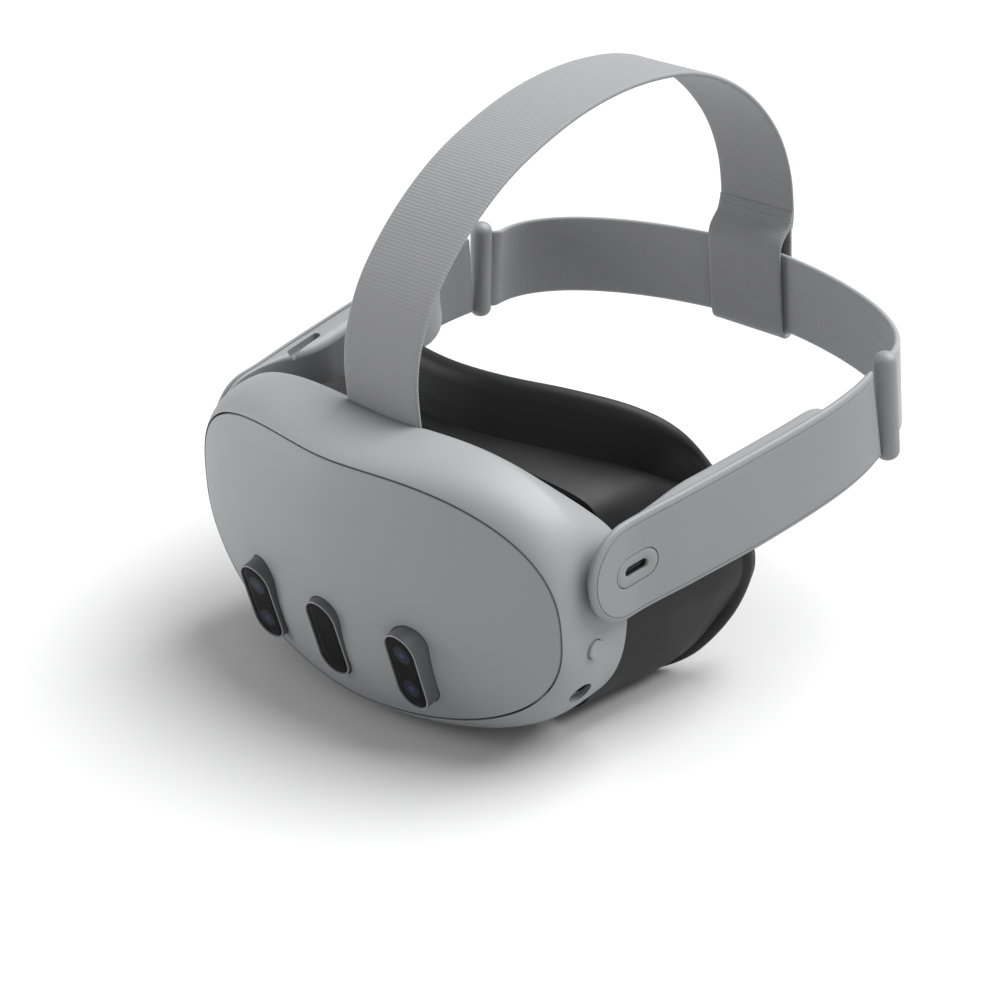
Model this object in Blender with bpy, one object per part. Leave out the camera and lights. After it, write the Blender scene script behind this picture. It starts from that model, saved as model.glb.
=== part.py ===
"""A head-worn display: visor, facial interface, side arms, rear band and top strap.

Metres, +Z up. The visor faces -Y and the wearer's left is +X.
Run with: blender --background --python part.py
"""

import math

import bmesh
import bpy
from mathutils import Matrix, Vector

MM = 0.001
GAP = 0.3 * MM                      # clearance between pieces that touch

# Where the design origin (centre of the front seam) stands in the finished part.
FRAME_Y = -84.3 * MM
FRAME_Z = 50.42 * MM

# Front seam: a rounded outline on a curved front.
SEAM_HALF_WIDTH = 81.5 * MM
SEAM_TOP = 44.7 * MM
SEAM_BOTTOM = 45.2 * MM
SEAM_POWER_TOP = 2.63
SEAM_POWER_BOTTOM = 2.14
SEAM_DIP = 2.3 * MM
DIP_WIDTH = 34.0 * MM
FRONT_SAG = 17.3 * MM               # how far the middle stands ahead of the sides
FRONT_SAG_POWER = 1.64
FRONT_LEAN = 0.065
FRONT_SWEEP = 5.0 * MM              # how far the chin sweeps back
FRONT_BULGE = 5.5 * MM
SHELL = 2.0 * MM
RING_POINTS = 48

# Widest section of the housing, and its rear edge.
BODY_HALF_WIDTH = 82.4 * MM
BODY_TOP = 52.0 * MM
BODY_BOTTOM = 50.5 * MM
BODY_DIP = 3.6 * MM
BODY_POWER_TOP = 3.0
BODY_POWER_BOTTOM = 2.6
BODY_Y = 4.5 * MM
BODY_SIDE_Y = 8.0 * MM
BODY_CHIN_Y = 9.0 * MM
BODY_FALL_POWER = 1.35
SHOULDER_START = math.radians(20)
REAR_HALF_WIDTH = 80.5 * MM
REAR_TOP = 41.5 * MM
REAR_BOTTOM = 50.0 * MM
REAR_Y = 31.0 * MM
REAR_POWER_TOP = 3.0
REAR_POWER_BOTTOM = 2.6
BROW_SETBACK = 11.0 * MM            # the rear edge ends further forward over the brow
BROW_LOW = 22.0 * MM
BROW_HIGH = 42.0 * MM
COVER_Y = 24.6 * MM

# Camera windows on the front.
PILL_SPACING = 33.5 * MM
PILL_Y = {"right": -18.6 * MM, "middle": -20.7 * MM, "left": -18.6 * MM}
PILL_Z = -20.6 * MM
PILL_LEAN = math.radians(17.0)      # the windows look slightly down
PILL_WIDTH = 13.6 * MM
PILL_HEIGHT = 30.2 * MM
PILL_WALL = 0.7 * MM
PILL_DEPTH = 9.0 * MM

# Optics.
EYE_X = 32.25 * MM
EYE_Z = 2.0 * MM
BARREL_RADIUS = 22.5 * MM
BARREL_FRONT_Y = 7.0 * MM
BARREL_REAR_Y = 23.0 * MM
LENS_RADIUS = 20.5 * MM
ROD_RADIUS = 1.25 * MM
ROD_Z = (30.0 * MM, -26.0 * MM)
ROD_Y = 12.0 * MM
ROD_HALF_LENGTH = 58.0 * MM

# Eye-spacing drive: a thumb wheel and an idler between two racks.
PINION_TEETH = 8
PINION_RADIUS = 4.0 * MM
RACK_PITCH = 2 * math.pi * PINION_RADIUS / PINION_TEETH
TOOTH_RISE = 0.7 * MM
TOOTH_ROOT = 1.0 * MM
WHEEL_RADIUS = 13.9 * MM
WHEEL_X = 9 * RACK_PITCH
DRIVE_Z = -36.0 * MM
RACK_Y = 15.3 * MM
RACK_THICK = 2.5 * MM
WHEEL_Y = RACK_Y + RACK_THICK + GAP
WHEEL_THICK = 3.0 * MM

# Electronics.
FAN_Z = 20.0 * MM
FAN_RADIUS = 14.0 * MM
FAN_BLADES = 7
SCREW_X = 60.0 * MM
SCREW_Z = 22.0 * MM

# Controls and sockets on the visor.
POWER_Y = 14.0 * MM
POWER_Z = -6.5 * MM
POWER_RADIUS = 3.1 * MM
AUDIO_Y = 14.0 * MM
AUDIO_Z = -6.5 * MM
AUDIO_RADIUS = 3.6 * MM
AUDIO_BORE = 1.75 * MM
SIDE_CAMERA = Vector((76.5 * MM, 13.0 * MM, -22.0 * MM))
SIDE_WINDOW_RADIUS = 3.8 * MM
ROCKER = Vector((-34.0 * MM, 11.5 * MM, -48.6 * MM))
ROCKER_SIZE = Vector((22.0 * MM, 4.8 * MM, 3.5 * MM))
ROCKER_TIP = math.radians(9.3)      # both lie along the curve of the underside
CONTACT = Vector((30.0 * MM, 11.5 * MM, -48.8 * MM))
CONTACT_SIZE = Vector((14.0 * MM, 4.4 * MM, 4.0 * MM))
CONTACT_TIP = math.radians(-7.0)
DEPTH_BUTTON_X = 64.5 * MM
DEPTH_BUTTON_Y = 34.8 * MM

# Arms: an outer plate over a thicker speaker housing.
ARM_X = 86.6 * MM                   # outer face at the pivot
ARM_PIVOT = Vector((0.0, 24.0 * MM, 17.5 * MM))
ARM_END = Vector((0.0, 143.6 * MM, 35.8 * MM))
BAR_TOP = Vector((90.7 * MM, 142.5 * MM, 54.9 * MM))
BAR_BOTTOM = Vector((93.6 * MM, 144.8 * MM, 16.8 * MM))
ARM_HALF_HEIGHT = 16.3 * MM
ARM_END_HALF_HEIGHT = 15.3 * MM
# Outward bow in mm, and lean in degrees, at shares of the length from the pivot to the strap bar.
ARM_BOW = ((-0.2, 3.4), (0.0, 0.0), (0.2, 3.4), (0.45, 7.4), (0.7, 9.8), (0.85, 9.2), (1.0, 6.0), (1.2, 3.0))
ARM_LEAN = ((-0.2, 3.6), (0.0, 0.0), (0.2, 3.6), (0.45, 6.3), (0.75, 6.0), (1.0, 4.4), (1.2, 4.4))
BAND_START_LEAN = math.radians(4.4)
PLATE_THICK = 2.2 * MM
PLATE_CHAMFER = 0.6 * MM
SPEAKER_FRONT = 1.2 * MM            # thickness of the inner layer beside the visor
SPEAKER_THICK = 8.0 * MM
SPEAKER_START = 15.5 * MM           # where it starts to thicken, from the pivot
SPEAKER_FULL = 28.0 * MM
SPEAKER_END = 97.0 * MM
SPEAKER_INSET = 0.9 * MM
PIVOT_RADIUS = 5.0 * MM
PORT_U = 3.0 * MM
PORT_LENGTH = 17.0 * MM
PORT_HEIGHT = 9.6 * MM
PORT_MOUTH = 9.3 * MM
PORT_MOUTH_HEIGHT = 3.3 * MM
BAR_RADIUS = 4.0 * MM

# Straps.
STRAP_THICK = 2.0 * MM
TOP_STRAP_HALF = 16.2 * MM
TOP_STRAP = [Vector((0.0, y * MM, z * MM)) for y, z in (
    (6.6, 46.5), (5.2, 62), (7.2, 75), (13.8, 89.5), (27, 105), (43, 117.5), (60, 126), (80, 132.6),
    (100, 135.8), (119, 135.8), (134, 133.5), (148, 128.5), (161, 121), (172, 111.5), (181, 100),
    (187, 86.5), (189.5, 73), (189.3, 66.5))]
ANCHOR_Y = 6.6 * MM
ANCHOR_Z = 44.4 * MM
ANCHOR_RADIUS = 1.6 * MM
BAND_HALF_HEIGHT = 15.2 * MM
BAND_REAR_Y = 188.5 * MM
BAND_REAR_Z = 43.0 * MM
BAND_SIDE_POWER = 1.15
BAND_BACK_POWER = 1.0
BAND_HALF_WIDTH = 88.7 * MM
BAND_REAR_LEAN = math.radians(7.0)
LOOP_WALL = 1.6 * MM

# Facial interface: half of the rolled rim's centre line, from the brow round to the nose.
RIM = [Vector((x * MM, y * MM, z * MM)) for x, y, z in (
    (0, 36.5, 53), (20, 39, 53), (40, 47, 52), (57, 57, 48.5), (67, 67, 41), (69, 80, 26),
    (69.5, 93, 6), (69.5, 100.5, -12), (67.5, 98.5, -25), (64.5, 92, -34.5), (59.5, 83, -42),
    (50.5, 75, -46), (39.5, 68.5, -43.5), (29, 61.5, -37), (18, 54, -27), (8, 48.5, -17), (0, 47, -13))]
RIM_POINTS = 48
RIM_ROLL = 4.0 * MM
BROW_FLANGE = 13.0 * MM
SIDE_FLANGE = 2.0 * MM
CHEEK_FULLNESS = 2.5 * MM
CUSHION_WALL = 2.6 * MM
INTERFACE_GAP = 0.8 * MM
FRAME_DEPTH = 6.0 * MM

# ---------------------------------------------------------------- scene and bodies

def clear_scene():
    for obj in list(bpy.data.objects):
        bpy.data.objects.remove(obj)


def collection(name):
    made = bpy.data.collections.new(name)
    bpy.context.scene.collection.children.link(made)
    return made


def body_empty(name, location, parent=None):
    empty = bpy.data.objects.new(name, None)
    empty.empty_display_size = 0.02
    PARTS.objects.link(empty)
    empty.location = location
    if parent is not None:
        empty.parent = parent
    return empty


def material(name, colour, roughness, metallic=0.0):
    mat = bpy.data.materials.new(name)
    mat.use_nodes = True
    shader = mat.node_tree.nodes["Principled BSDF"]
    shader.inputs["Base Color"].default_value = (*colour, 1.0)
    shader.inputs["Roughness"].default_value = roughness
    shader.inputs["Metallic"].default_value = metallic
    mat.diffuse_color = (*colour, 1.0)
    return mat


def add_piece(name, mesh, mat, body):
    """Link a mesh drawn about the design origin, and hang it on its body's empty."""
    obj = bpy.data.objects.new(name, mesh)
    mesh.materials.append(mat)
    PARTS.objects.link(obj)
    obj.parent = body
    if body is not ROOT:
        obj.location = -body.location
    return obj


def add_cutter(name, mesh, parent):
    obj = bpy.data.objects.new(name, mesh)
    CUTTERS.objects.link(obj)
    obj.parent = parent.parent
    obj.location = parent.location
    obj.hide_render = True
    obj.display_type = "WIRE"
    return obj


def boolean(piece, mesh, operation):
    cutter = add_cutter(f"{piece.name}_{operation.lower()}_{len(piece.modifiers)}", mesh, piece)
    modifier = piece.modifiers.new(cutter.name, "BOOLEAN")
    modifier.operation = operation
    modifier.object = cutter


def cut(piece, *meshes):
    for mesh in meshes:
        boolean(piece, mesh, "DIFFERENCE")


def join(piece, *meshes):
    for mesh in meshes:
        boolean(piece, mesh, "UNION")


# ---------------------------------------------------------------- shapes

def finish_mesh(name, bm, smooth=True):
    bmesh.ops.recalc_face_normals(bm, faces=bm.faces)
    mesh = bpy.data.meshes.new(name)
    bm.to_mesh(mesh)
    bm.free()
    if smooth:
        mesh.shade_smooth()
        mesh.set_sharp_from_angle(angle=math.radians(35))
    return mesh


def box(name, low, high):
    low, high = Vector(low), Vector(high)
    bm = bmesh.new()
    size = Matrix.Diagonal((*(high - low), 1.0))
    bmesh.ops.create_cube(bm, size=1.0, matrix=Matrix.Translation((low + high) / 2) @ size)
    return finish_mesh(name, bm, smooth=False)


def rod(name, start, end, radius, segments=20, end_radius=None):
    start, end = Vector(start), Vector(end)
    axis = end - start
    place = Matrix.Translation((start + end) / 2) @ axis.to_track_quat("Z", "Y").to_matrix().to_4x4()
    bm = bmesh.new()
    bmesh.ops.create_cone(bm, cap_ends=True, segments=segments, radius1=radius,
                          radius2=radius if end_radius is None else end_radius,
                          depth=axis.length, matrix=place)
    return finish_mesh(name, bm)


def loft(name, rings, wrap=False):
    """Join rings of equal counts. A wrapped loft is a closed sleeve, any other has end caps."""
    bm = bmesh.new()
    loops = [[bm.verts.new(point) for point in ring] for ring in rings]
    count = len(loops[0])
    pairs = list(zip(loops, loops[1:] + loops[:1] if wrap else loops[1:]))
    for first, second in pairs:
        for i in range(count):
            j = (i + 1) % count
            bm.faces.new((first[i], first[j], second[j], second[i]))
    if not wrap:
        bm.faces.new(loops[0])
        bm.faces.new(loops[-1])
    return finish_mesh(name, bm)


def prism(name, outline, low_y, high_y):
    """Extrude an outline of (x, z) points along Y."""
    return loft(name, [[Vector((x, y, z)) for x, z in outline] for y in (low_y, high_y)])


def sleeve(name, outer, inner, low_y, high_y):
    """A tube along Y between two outlines with the same number of points."""
    rings = [[Vector((x, y, z)) for x, z in outline]
             for outline, y in ((outer, low_y), (outer, high_y), (inner, high_y), (inner, low_y))]
    return loft(name, rings, wrap=True)


def circle(centre_x, centre_z, radius, count=28):
    turns = (2 * math.pi * i / count for i in range(count))
    return [(centre_x + radius * math.cos(t), centre_z + radius * math.sin(t)) for t in turns]


def stadium(centre_x, centre_z, width, height, arc=8):
    """Upright outline with half-round ends."""
    radius = width / 2
    rise = height / 2 - radius
    points = []
    for end, start in ((1, 0.0), (-1, math.pi)):
        for i in range(arc + 1):
            t = start + math.pi * i / arc
            points.append((centre_x + radius * math.cos(t), centre_z + end * rise + radius * math.sin(t)))
    return points


def superellipse(half_width, top, bottom, power_top, power_bottom, dip=0.0, count=RING_POINTS):
    points = []
    for i in range(count):
        t = 2 * math.pi * (i + 0.5) / count
        c, s = math.cos(t), math.sin(t)
        power = power_top if s > 0 else power_bottom
        x = math.copysign(half_width * abs(c) ** (2 / power), c)
        z = math.copysign((top if s > 0 else bottom) * abs(s) ** (2 / power), s)
        if s > 0:
            z -= dip * math.exp(-(x / DIP_WIDTH) ** 2)
        points.append((x, z))
    return points


def smooth_path(points, count, closed=False):
    """Points evenly placed by parameter on a Catmull-Rom curve through the given ones."""
    last = len(points) if closed else len(points) - 1
    result = []
    for k in range(count):
        u = k * last / (count if closed else count - 1)
        i = min(int(u), last - 1)
        f = u - i

        def at(n):
            return points[n % len(points)] if closed else points[max(0, min(n, len(points) - 1))]

        p0, p1, p2, p3 = at(i - 1), at(i), at(i + 1), at(i + 2)
        result.append(0.5 * ((2 * p1) + (p2 - p0) * f + (2 * p0 - 5 * p1 + 4 * p2 - p3) * f * f
                             + (3 * p1 - p0 - 3 * p2 + p3) * f ** 3))
    return result


def ribbon(name, path, across, half_width, thickness, normals):
    """A flat strip: its middle line, the direction across it and its outward normals."""
    rings = []
    for point, side, normal in zip(path, across, normals):
        rings.append([point + side * a * half_width + normal * b * thickness / 2
                      for a, b in ((-1, -1), (1, -1), (1, 1), (-1, 1))])
    return loft(name, rings)


# ---------------------------------------------------------------- visor skins

def smoothstep(low, high, value):
    t = min(max((value - low) / (high - low), 0.0), 1.0)
    return t * t * (3 - 2 * t)


def front_y(x, z):
    """Depth of the front seam's surface above a point of the front."""
    sag = FRONT_SAG * (1 - min(abs(x) / SEAM_HALF_WIDTH, 1.3) ** FRONT_SAG_POWER)
    return -sag - FRONT_LEAN * z + FRONT_SWEEP * (min(z, 0.0) / SEAM_BOTTOM) ** 2


def rear_y(z):
    """Depth of the housing's rear edge at a height."""
    return REAR_Y - BROW_SETBACK * smoothstep(BROW_LOW, BROW_HIGH, z)


def seam_outline(grow=0.0):
    return superellipse(SEAM_HALF_WIDTH + grow, SEAM_TOP + grow, SEAM_BOTTOM + grow,
                        SEAM_POWER_TOP, SEAM_POWER_BOTTOM, SEAM_DIP)


def cover_ring(fraction, inset):
    outline = seam_outline(-GAP - inset)
    y_extra = inset - FRONT_BULGE * (1 - fraction ** 3)
    return [Vector((x * fraction, front_y(x * fraction, z * fraction) + y_extra, z * fraction))
            for x, z in outline]


def rear_outline(inset):
    return superellipse(REAR_HALF_WIDTH - inset, REAR_TOP - inset, REAR_BOTTOM - inset,
                        REAR_POWER_TOP, REAR_POWER_BOTTOM, BODY_DIP)


def housing_ring(stage, inset):
    """A ring of the housing's skin: stage 0..1 is the front shoulder, 1..2 runs to the rear edge."""
    seam = seam_outline(-inset)
    widest = superellipse(BODY_HALF_WIDTH - inset, BODY_TOP - inset, BODY_BOTTOM - inset,
                          BODY_POWER_TOP, BODY_POWER_BOTTOM, BODY_DIP)
    rear = rear_outline(inset)
    ring = []
    for (sx, sz), (wx, wz), (rx, rz) in zip(seam, widest, rear):
        start = Vector((sx, front_y(sx, sz) + inset * 0.5, sz))
        side_y = BODY_SIDE_Y * (wx / BODY_HALF_WIDTH) ** 2
        chin_y = (BODY_CHIN_Y - side_y * 0.6) * smoothstep(0, 40 * MM, -wz)
        middle = Vector((wx, BODY_Y + side_y + chin_y, wz))
        end = Vector((rx, rear_y(rz), rz))
        if stage <= 1:
            t = SHOULDER_START + (math.pi / 2 - SHOULDER_START) * stage
            out = (math.sin(t) - math.sin(SHOULDER_START)) / (1 - math.sin(SHOULDER_START))
            back = 1 - math.cos(t) / math.cos(SHOULDER_START)
            ring.append(Vector((start.x + (middle.x - start.x) * out,
                                start.y + (middle.y - start.y) * back,
                                start.z + (middle.z - start.z) * out)))
        else:
            back = stage - 1
            fall = back ** BODY_FALL_POWER
            ring.append(Vector((middle.x + (end.x - middle.x) * fall,
                                middle.y + (end.y - middle.y) * back,
                                middle.z + (end.z - middle.z) * fall)))
    return ring


def make_front_cover():
    outer = [cover_ring(f, 0.0) for f in (0.08, 0.25, 0.5, 0.75, 0.92, 1.0)]
    inner = [cover_ring(f, SHELL) for f in (1.0, 0.75, 0.5, 0.25, 0.08)]
    cover = add_piece("front_cover", loft("front_cover", outer + inner), GREY_PLASTIC, ROOT)
    for side in PILL_Y:
        outline = stadium(0, 0, PILL_WIDTH + 2 * GAP, PILL_HEIGHT + 2 * GAP)
        cut(cover, tilted(prism("window_hole", outline, -10 * MM, 22 * MM), side))


def tilted(mesh, side):
    """Carry a mesh drawn about a window's own face to its place on the front."""
    x = {"right": -PILL_SPACING, "middle": 0.0, "left": PILL_SPACING}[side]
    lean = Matrix.Rotation(PILL_LEAN, 4, "X")
    mesh.transform(Matrix.Translation((x, PILL_Y[side], PILL_Z)) @ lean)
    return mesh


def make_camera_windows():
    clear_width, clear_height = PILL_WIDTH - 2 * PILL_WALL, PILL_HEIGHT - 2 * PILL_WALL
    for side in PILL_Y:
        bezel = sleeve("bezel", stadium(0, 0, PILL_WIDTH, PILL_HEIGHT),
                       stadium(0, 0, clear_width, clear_height), 0.0, PILL_DEPTH)
        add_piece(f"{side}_camera_bezel", tilted(bezel, side), GREY_PLASTIC, ROOT)
        pane = prism("pane", stadium(0, 0, clear_width - 2 * GAP, clear_height - 2 * GAP),
                     0.3 * MM, 1.5 * MM)
        add_piece(f"{side}_camera_window", tilted(pane, side), DARK_GLASS, ROOT)
        if side == "middle":
            projector = box("projector", (-4 * MM, 2 * MM, -7 * MM), (4 * MM, 6.5 * MM, 7 * MM))
            add_piece("depth_projector", tilted(projector, side), BLACK_PLASTIC, ROOT)
            continue
        for kind, z in (("tracking_camera", 7 * MM), ("colour_camera", -7 * MM)):
            camera = rod(kind, (0, 2 * MM, z), (0, 6.8 * MM, z), 4.2 * MM, 16, 5.0 * MM)
            add_piece(f"{side}_{kind}", tilted(camera, side), BLACK_PLASTIC, ROOT)


def make_housing():
    outer = [housing_ring(stage, 0.0) for stage in (0, 0.25, 0.5, 0.75, 1, 1.5, 2)]
    inner = [housing_ring(stage, SHELL) for stage in (2, 1.5, 1, 0.5, 0.12)]
    housing = add_piece("main_housing", loft("main_housing", outer + inner, wrap=True), GREY_PLASTIC, ROOT)
    slot_half = TOP_STRAP_HALF + 1.2 * MM
    cut(housing, box("strap_slot", (-slot_half, 3.5 * MM, 38 * MM), (slot_half, 10.5 * MM, 60 * MM)))
    for sign in (-1, 1):
        cut(housing, rod("pivot_hole", (sign * 60 * MM, ARM_PIVOT.y, ARM_PIVOT.z),
                         (sign * 100 * MM, ARM_PIVOT.y, ARM_PIVOT.z), PIVOT_RADIUS + GAP, 20))
        cut(housing, rod("side_window_hole", side_camera_point(sign, -12 * MM),
                         side_camera_point(sign, 12 * MM), SIDE_WINDOW_RADIUS + GAP, 16))
    cut(housing, rod("power_hole", (60 * MM, POWER_Y, POWER_Z), (100 * MM, POWER_Y, POWER_Z),
                     POWER_RADIUS + GAP, 16))
    cut(housing, rod("audio_hole", (-60 * MM, AUDIO_Y, AUDIO_Z), (-100 * MM, AUDIO_Y, AUDIO_Z),
                     AUDIO_RADIUS + GAP, 16))
    wheel_low = (WHEEL_X - WHEEL_RADIUS, WHEEL_Y - 0.6 * MM, -60 * MM)
    wheel_high = (WHEEL_X + WHEEL_RADIUS, WHEEL_Y + WHEEL_THICK + 0.6 * MM, -34 * MM)
    cut(housing, box("wheel_slot", wheel_low, wheel_high))
    cut(housing, tipped_block("rocker_slot", ROCKER, ROCKER_SIZE, ROCKER_TIP, GAP, 10 * MM))
    cut(housing, tipped_block("contact_slot", CONTACT, CONTACT_SIZE, CONTACT_TIP, GAP, 10 * MM))


def tipped_block(name, face, size, tip, grow=0.0, extend=0.0):
    """A block whose lower face is centred at a point of the curved underside."""
    low = (-size.x / 2 - grow, -size.y / 2 - grow, -extend)
    high = (size.x / 2 + grow, size.y / 2 + grow, size.z + extend)
    mesh = box(name, low, high)
    mesh.transform(Matrix.Translation(face) @ Matrix.Rotation(tip, 4, "Y"))
    return mesh


def side_camera_point(sign, along):
    """A point on the axis of a side camera, which looks out, forwards and down."""
    direction = Vector((sign * 0.80, -0.35, -0.48)).normalized()
    return Vector((sign * SIDE_CAMERA.x, SIDE_CAMERA.y, SIDE_CAMERA.z)) + direction * along


def make_side_pieces():
    for sign, side in ((1, "left"), (-1, "right")):
        add_piece(f"{side}_side_camera", rod("side_camera", side_camera_point(sign, -7 * MM),
                                             side_camera_point(sign, -0.6 * MM), SIDE_WINDOW_RADIUS, 16),
                  DARK_GLASS, ROOT)
        x_in, x_out = sign * (ARM_X - 9.6 * MM), sign * (ARM_X - PLATE_THICK - 2 * GAP)
        hub = rod("pivot", (x_in, ARM_PIVOT.y, ARM_PIVOT.z), (x_out, ARM_PIVOT.y, ARM_PIVOT.z),
                  PIVOT_RADIUS, 20)
        add_piece(f"{side}_arm_pivot", hub, STEEL, ROOT)
    add_piece("audio_socket", sleeve_x("audio_socket", -(BODY_HALF_WIDTH - 6 * MM), -(BODY_HALF_WIDTH - 0.6 * MM),
                                       AUDIO_Y, AUDIO_Z, AUDIO_RADIUS, AUDIO_BORE), BLACK_PLASTIC, ROOT)
    button = rod("power_button", (BODY_HALF_WIDTH - 5 * MM, POWER_Y, POWER_Z),
                 (BODY_HALF_WIDTH + 0.9 * MM, POWER_Y, POWER_Z), POWER_RADIUS, 20)
    add_piece("power_button", button, GREY_PLASTIC, POWER)
    add_piece("volume_rocker", tipped_block("rocker", ROCKER, ROCKER_SIZE, ROCKER_TIP), GREY_PLASTIC, VOLUME)
    pad = add_piece("charging_contacts", tipped_block("pad", CONTACT, CONTACT_SIZE, CONTACT_TIP), BRASS, ROOT)
    for step in (-1, 1):
        groove = Vector((CONTACT.x + step * 3 * MM, CONTACT.y, CONTACT.z + step * 3 * MM * math.sin(-CONTACT_TIP)))
        cut(pad, tipped_block("groove", groove, Vector((1 * MM, 16 * MM, -0.4 * MM)), CONTACT_TIP, 0.0, 1 * MM))


def sleeve_x(name, low_x, high_x, y, z, outer_radius, inner_radius):
    """A tube along X."""
    rings = []
    for radius, x in ((outer_radius, low_x), (outer_radius, high_x), (inner_radius, high_x),
                      (inner_radius, low_x)):
        rings.append([Vector((x, y + a, z + b)) for a, b in circle(0, 0, radius, 20)])
    return loft(name, rings, wrap=True)


# ---------------------------------------------------------------- inside the visor

def plate(name, mat, grow, low_y, high_y, body=None, power=2.4):
    """A board or plate that follows the housing's outline."""
    outline = superellipse(68 * MM + grow, 36 * MM + grow, 33 * MM + grow, power, power, count=36)
    return add_piece(name, prism(name, outline, low_y, high_y), mat, ROOT if body is None else body)


def make_electronics():
    battery = superellipse(26 * MM, 12 * MM, 12 * MM, 5, 5, count=24)
    add_piece("battery_pack", prism("battery", [(x, z + 15 * MM) for x, z in battery],
                                    -14.0 * MM, -7.4 * MM), BLACK_PLASTIC, ROOT)
    plate("mainboard", GREEN_BOARD, -12 * MM, -6.2 * MM, -5.2 * MM)
    sink = plate("heat_sink", ALUMINIUM, -13 * MM, -4.7 * MM, -2.7 * MM)
    cut(sink, prism("fan_hole", circle(0, FAN_Z, FAN_RADIUS + 0.6 * MM), -20 * MM, 20 * MM))
    tub = rod("fan_housing", (0, -4.6 * MM, FAN_Z), (0, 1.6 * MM, FAN_Z), FAN_RADIUS, 28)
    housing = add_piece("fan_housing", tub, BLACK_PLASTIC, ROOT)
    cut(housing, rod("fan_bowl", (0, -3.4 * MM, FAN_Z), (0, 4 * MM, FAN_Z), FAN_RADIUS - 1.2 * MM, 28))
    hub = rod("hub", (0, -3.0 * MM, FAN_Z), (0, 1.0 * MM, FAN_Z), 5 * MM, 18)
    impeller = add_piece("fan_impeller", hub, BLACK_PLASTIC, FAN)
    for k in range(FAN_BLADES):
        turn = Matrix.Rotation(2 * math.pi * k / FAN_BLADES, 4, "Y")
        blade = box("blade", (4 * MM, -2.6 * MM, -0.4 * MM), (FAN_RADIUS - 2 * MM, 0.6 * MM, 0.4 * MM))
        blade.transform(Matrix.Translation((0, 0, FAN_Z)) @ turn)
        join(impeller, blade)
    chassis = plate("chassis", ALUMINIUM, 2 * MM, 2.2 * MM, 3.7 * MM)
    cut(chassis, prism("cable_hole", circle(0, -16 * MM, 5 * MM), -20 * MM, 20 * MM))
    for sign, side in ((1, "left"), (-1, "right")):
        head = rod("screw", (sign * SCREW_X, 4.0 * MM, SCREW_Z), (sign * SCREW_X, 5.4 * MM, SCREW_Z),
                   2.4 * MM, 12)
        add_piece(f"{side}_chassis_screw", head, STEEL, ROOT)


def make_optics():
    for sign, side, body in ((1, "left", LEFT_OPTICS), (-1, "right", RIGHT_OPTICS)):
        x = sign * EYE_X
        add_piece(f"{side}_display", prism("display", superellipse_at(x, EYE_Z, 19 * MM, 19 * MM, 5),
                                           4.6 * MM, 6.2 * MM), DARK_GLASS, body)
        outer = circle(x, EYE_Z, BARREL_RADIUS, 24)
        inner = circle(x, EYE_Z, LENS_RADIUS + 0.5 * MM, 24)
        barrel = add_piece(f"{side}_lens_barrel", sleeve("barrel", outer, inner, BARREL_FRONT_Y, BARREL_REAR_Y),
                           BLACK_PLASTIC, body)
        for rod_z in ROD_Z:
            reach = math.copysign(3.2 * MM, rod_z - EYE_Z)
            near = EYE_Z + math.copysign(BARREL_RADIUS - 1.2 * MM, rod_z - EYE_Z)
            low, high = sorted((near, rod_z + reach))
            join(barrel, box("lug", (x - 6 * MM, ROD_Y - 3 * MM, low), (x + 6 * MM, ROD_Y + 3 * MM, high)))
        for rod_z in ROD_Z:
            cut(barrel, rod("lug_hole", (x - 20 * MM, ROD_Y, rod_z), (x + 20 * MM, ROD_Y, rod_z),
                            ROD_RADIUS + 0.15 * MM, 16))
        lens_rings = []
        for y, r in ((9.0, 0.93), (10.0, 1.0), (20.5, 1.0), (22.2, 0.86), (23.4, 0.62), (24.0, 0.3)):
            lens_rings.append([Vector((px, y * MM, pz)) for px, pz in circle(x, EYE_Z, LENS_RADIUS * r, 24)])
        add_piece(f"{side}_lens", loft("lens", lens_rings), GLASS, body)
    for rod_z, level in zip(ROD_Z, ("upper", "lower")):
        add_piece(f"{level}_guide_rod", rod("guide_rod", (-ROD_HALF_LENGTH, ROD_Y, rod_z),
                                            (ROD_HALF_LENGTH, ROD_Y, rod_z), ROD_RADIUS, 16), STEEL, ROOT)


def superellipse_at(x, z, half_width, half_height, power, count=24):
    return [(px + x, pz + z) for px, pz in superellipse(half_width, half_height, half_height,
                                                        power, power, count=count)]


def gear_outline(centre_x, centre_z, phase):
    """Tooth tips and roots of a small pinion, with slim teeth for running clearance."""
    points = []
    pitch = 2 * math.pi / PINION_TEETH
    for k in range(PINION_TEETH):
        middle = phase + k * pitch
        for offset, radius in ((-0.28, -TOOTH_ROOT), (-0.13, TOOTH_RISE), (0.13, TOOTH_RISE),
                               (0.28, -TOOTH_ROOT)):
            t = middle + offset * pitch
            r = PINION_RADIUS + radius
            points.append((centre_x + r * math.cos(t), centre_z + r * math.sin(t)))
    return points


def rack_outline(low_x, high_x, pitch_z, thick, tooth_x, down):
    """A bar with slim teeth on one side. Its pitch line is at pitch_z."""
    pitch = 2 * math.pi * PINION_RADIUS / PINION_TEETH
    sign = -1 if down else 1
    points = [(low_x, pitch_z - sign * thick), (low_x, pitch_z - sign * TOOTH_ROOT)]
    first = math.ceil((low_x + pitch / 3 - tooth_x) / pitch)
    last = math.floor((high_x - pitch / 3 - tooth_x) / pitch)
    for k in range(first, last + 1):
        middle = tooth_x + k * pitch
        for offset, rise in ((-0.28, -TOOTH_ROOT), (-0.13, TOOTH_RISE), (0.13, TOOTH_RISE),
                             (0.28, -TOOTH_ROOT)):
            points.append((middle + offset * pitch, pitch_z + sign * rise))
    points += [(high_x, pitch_z - sign * TOOTH_ROOT), (high_x, pitch_z - sign * thick)]
    return points


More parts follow.
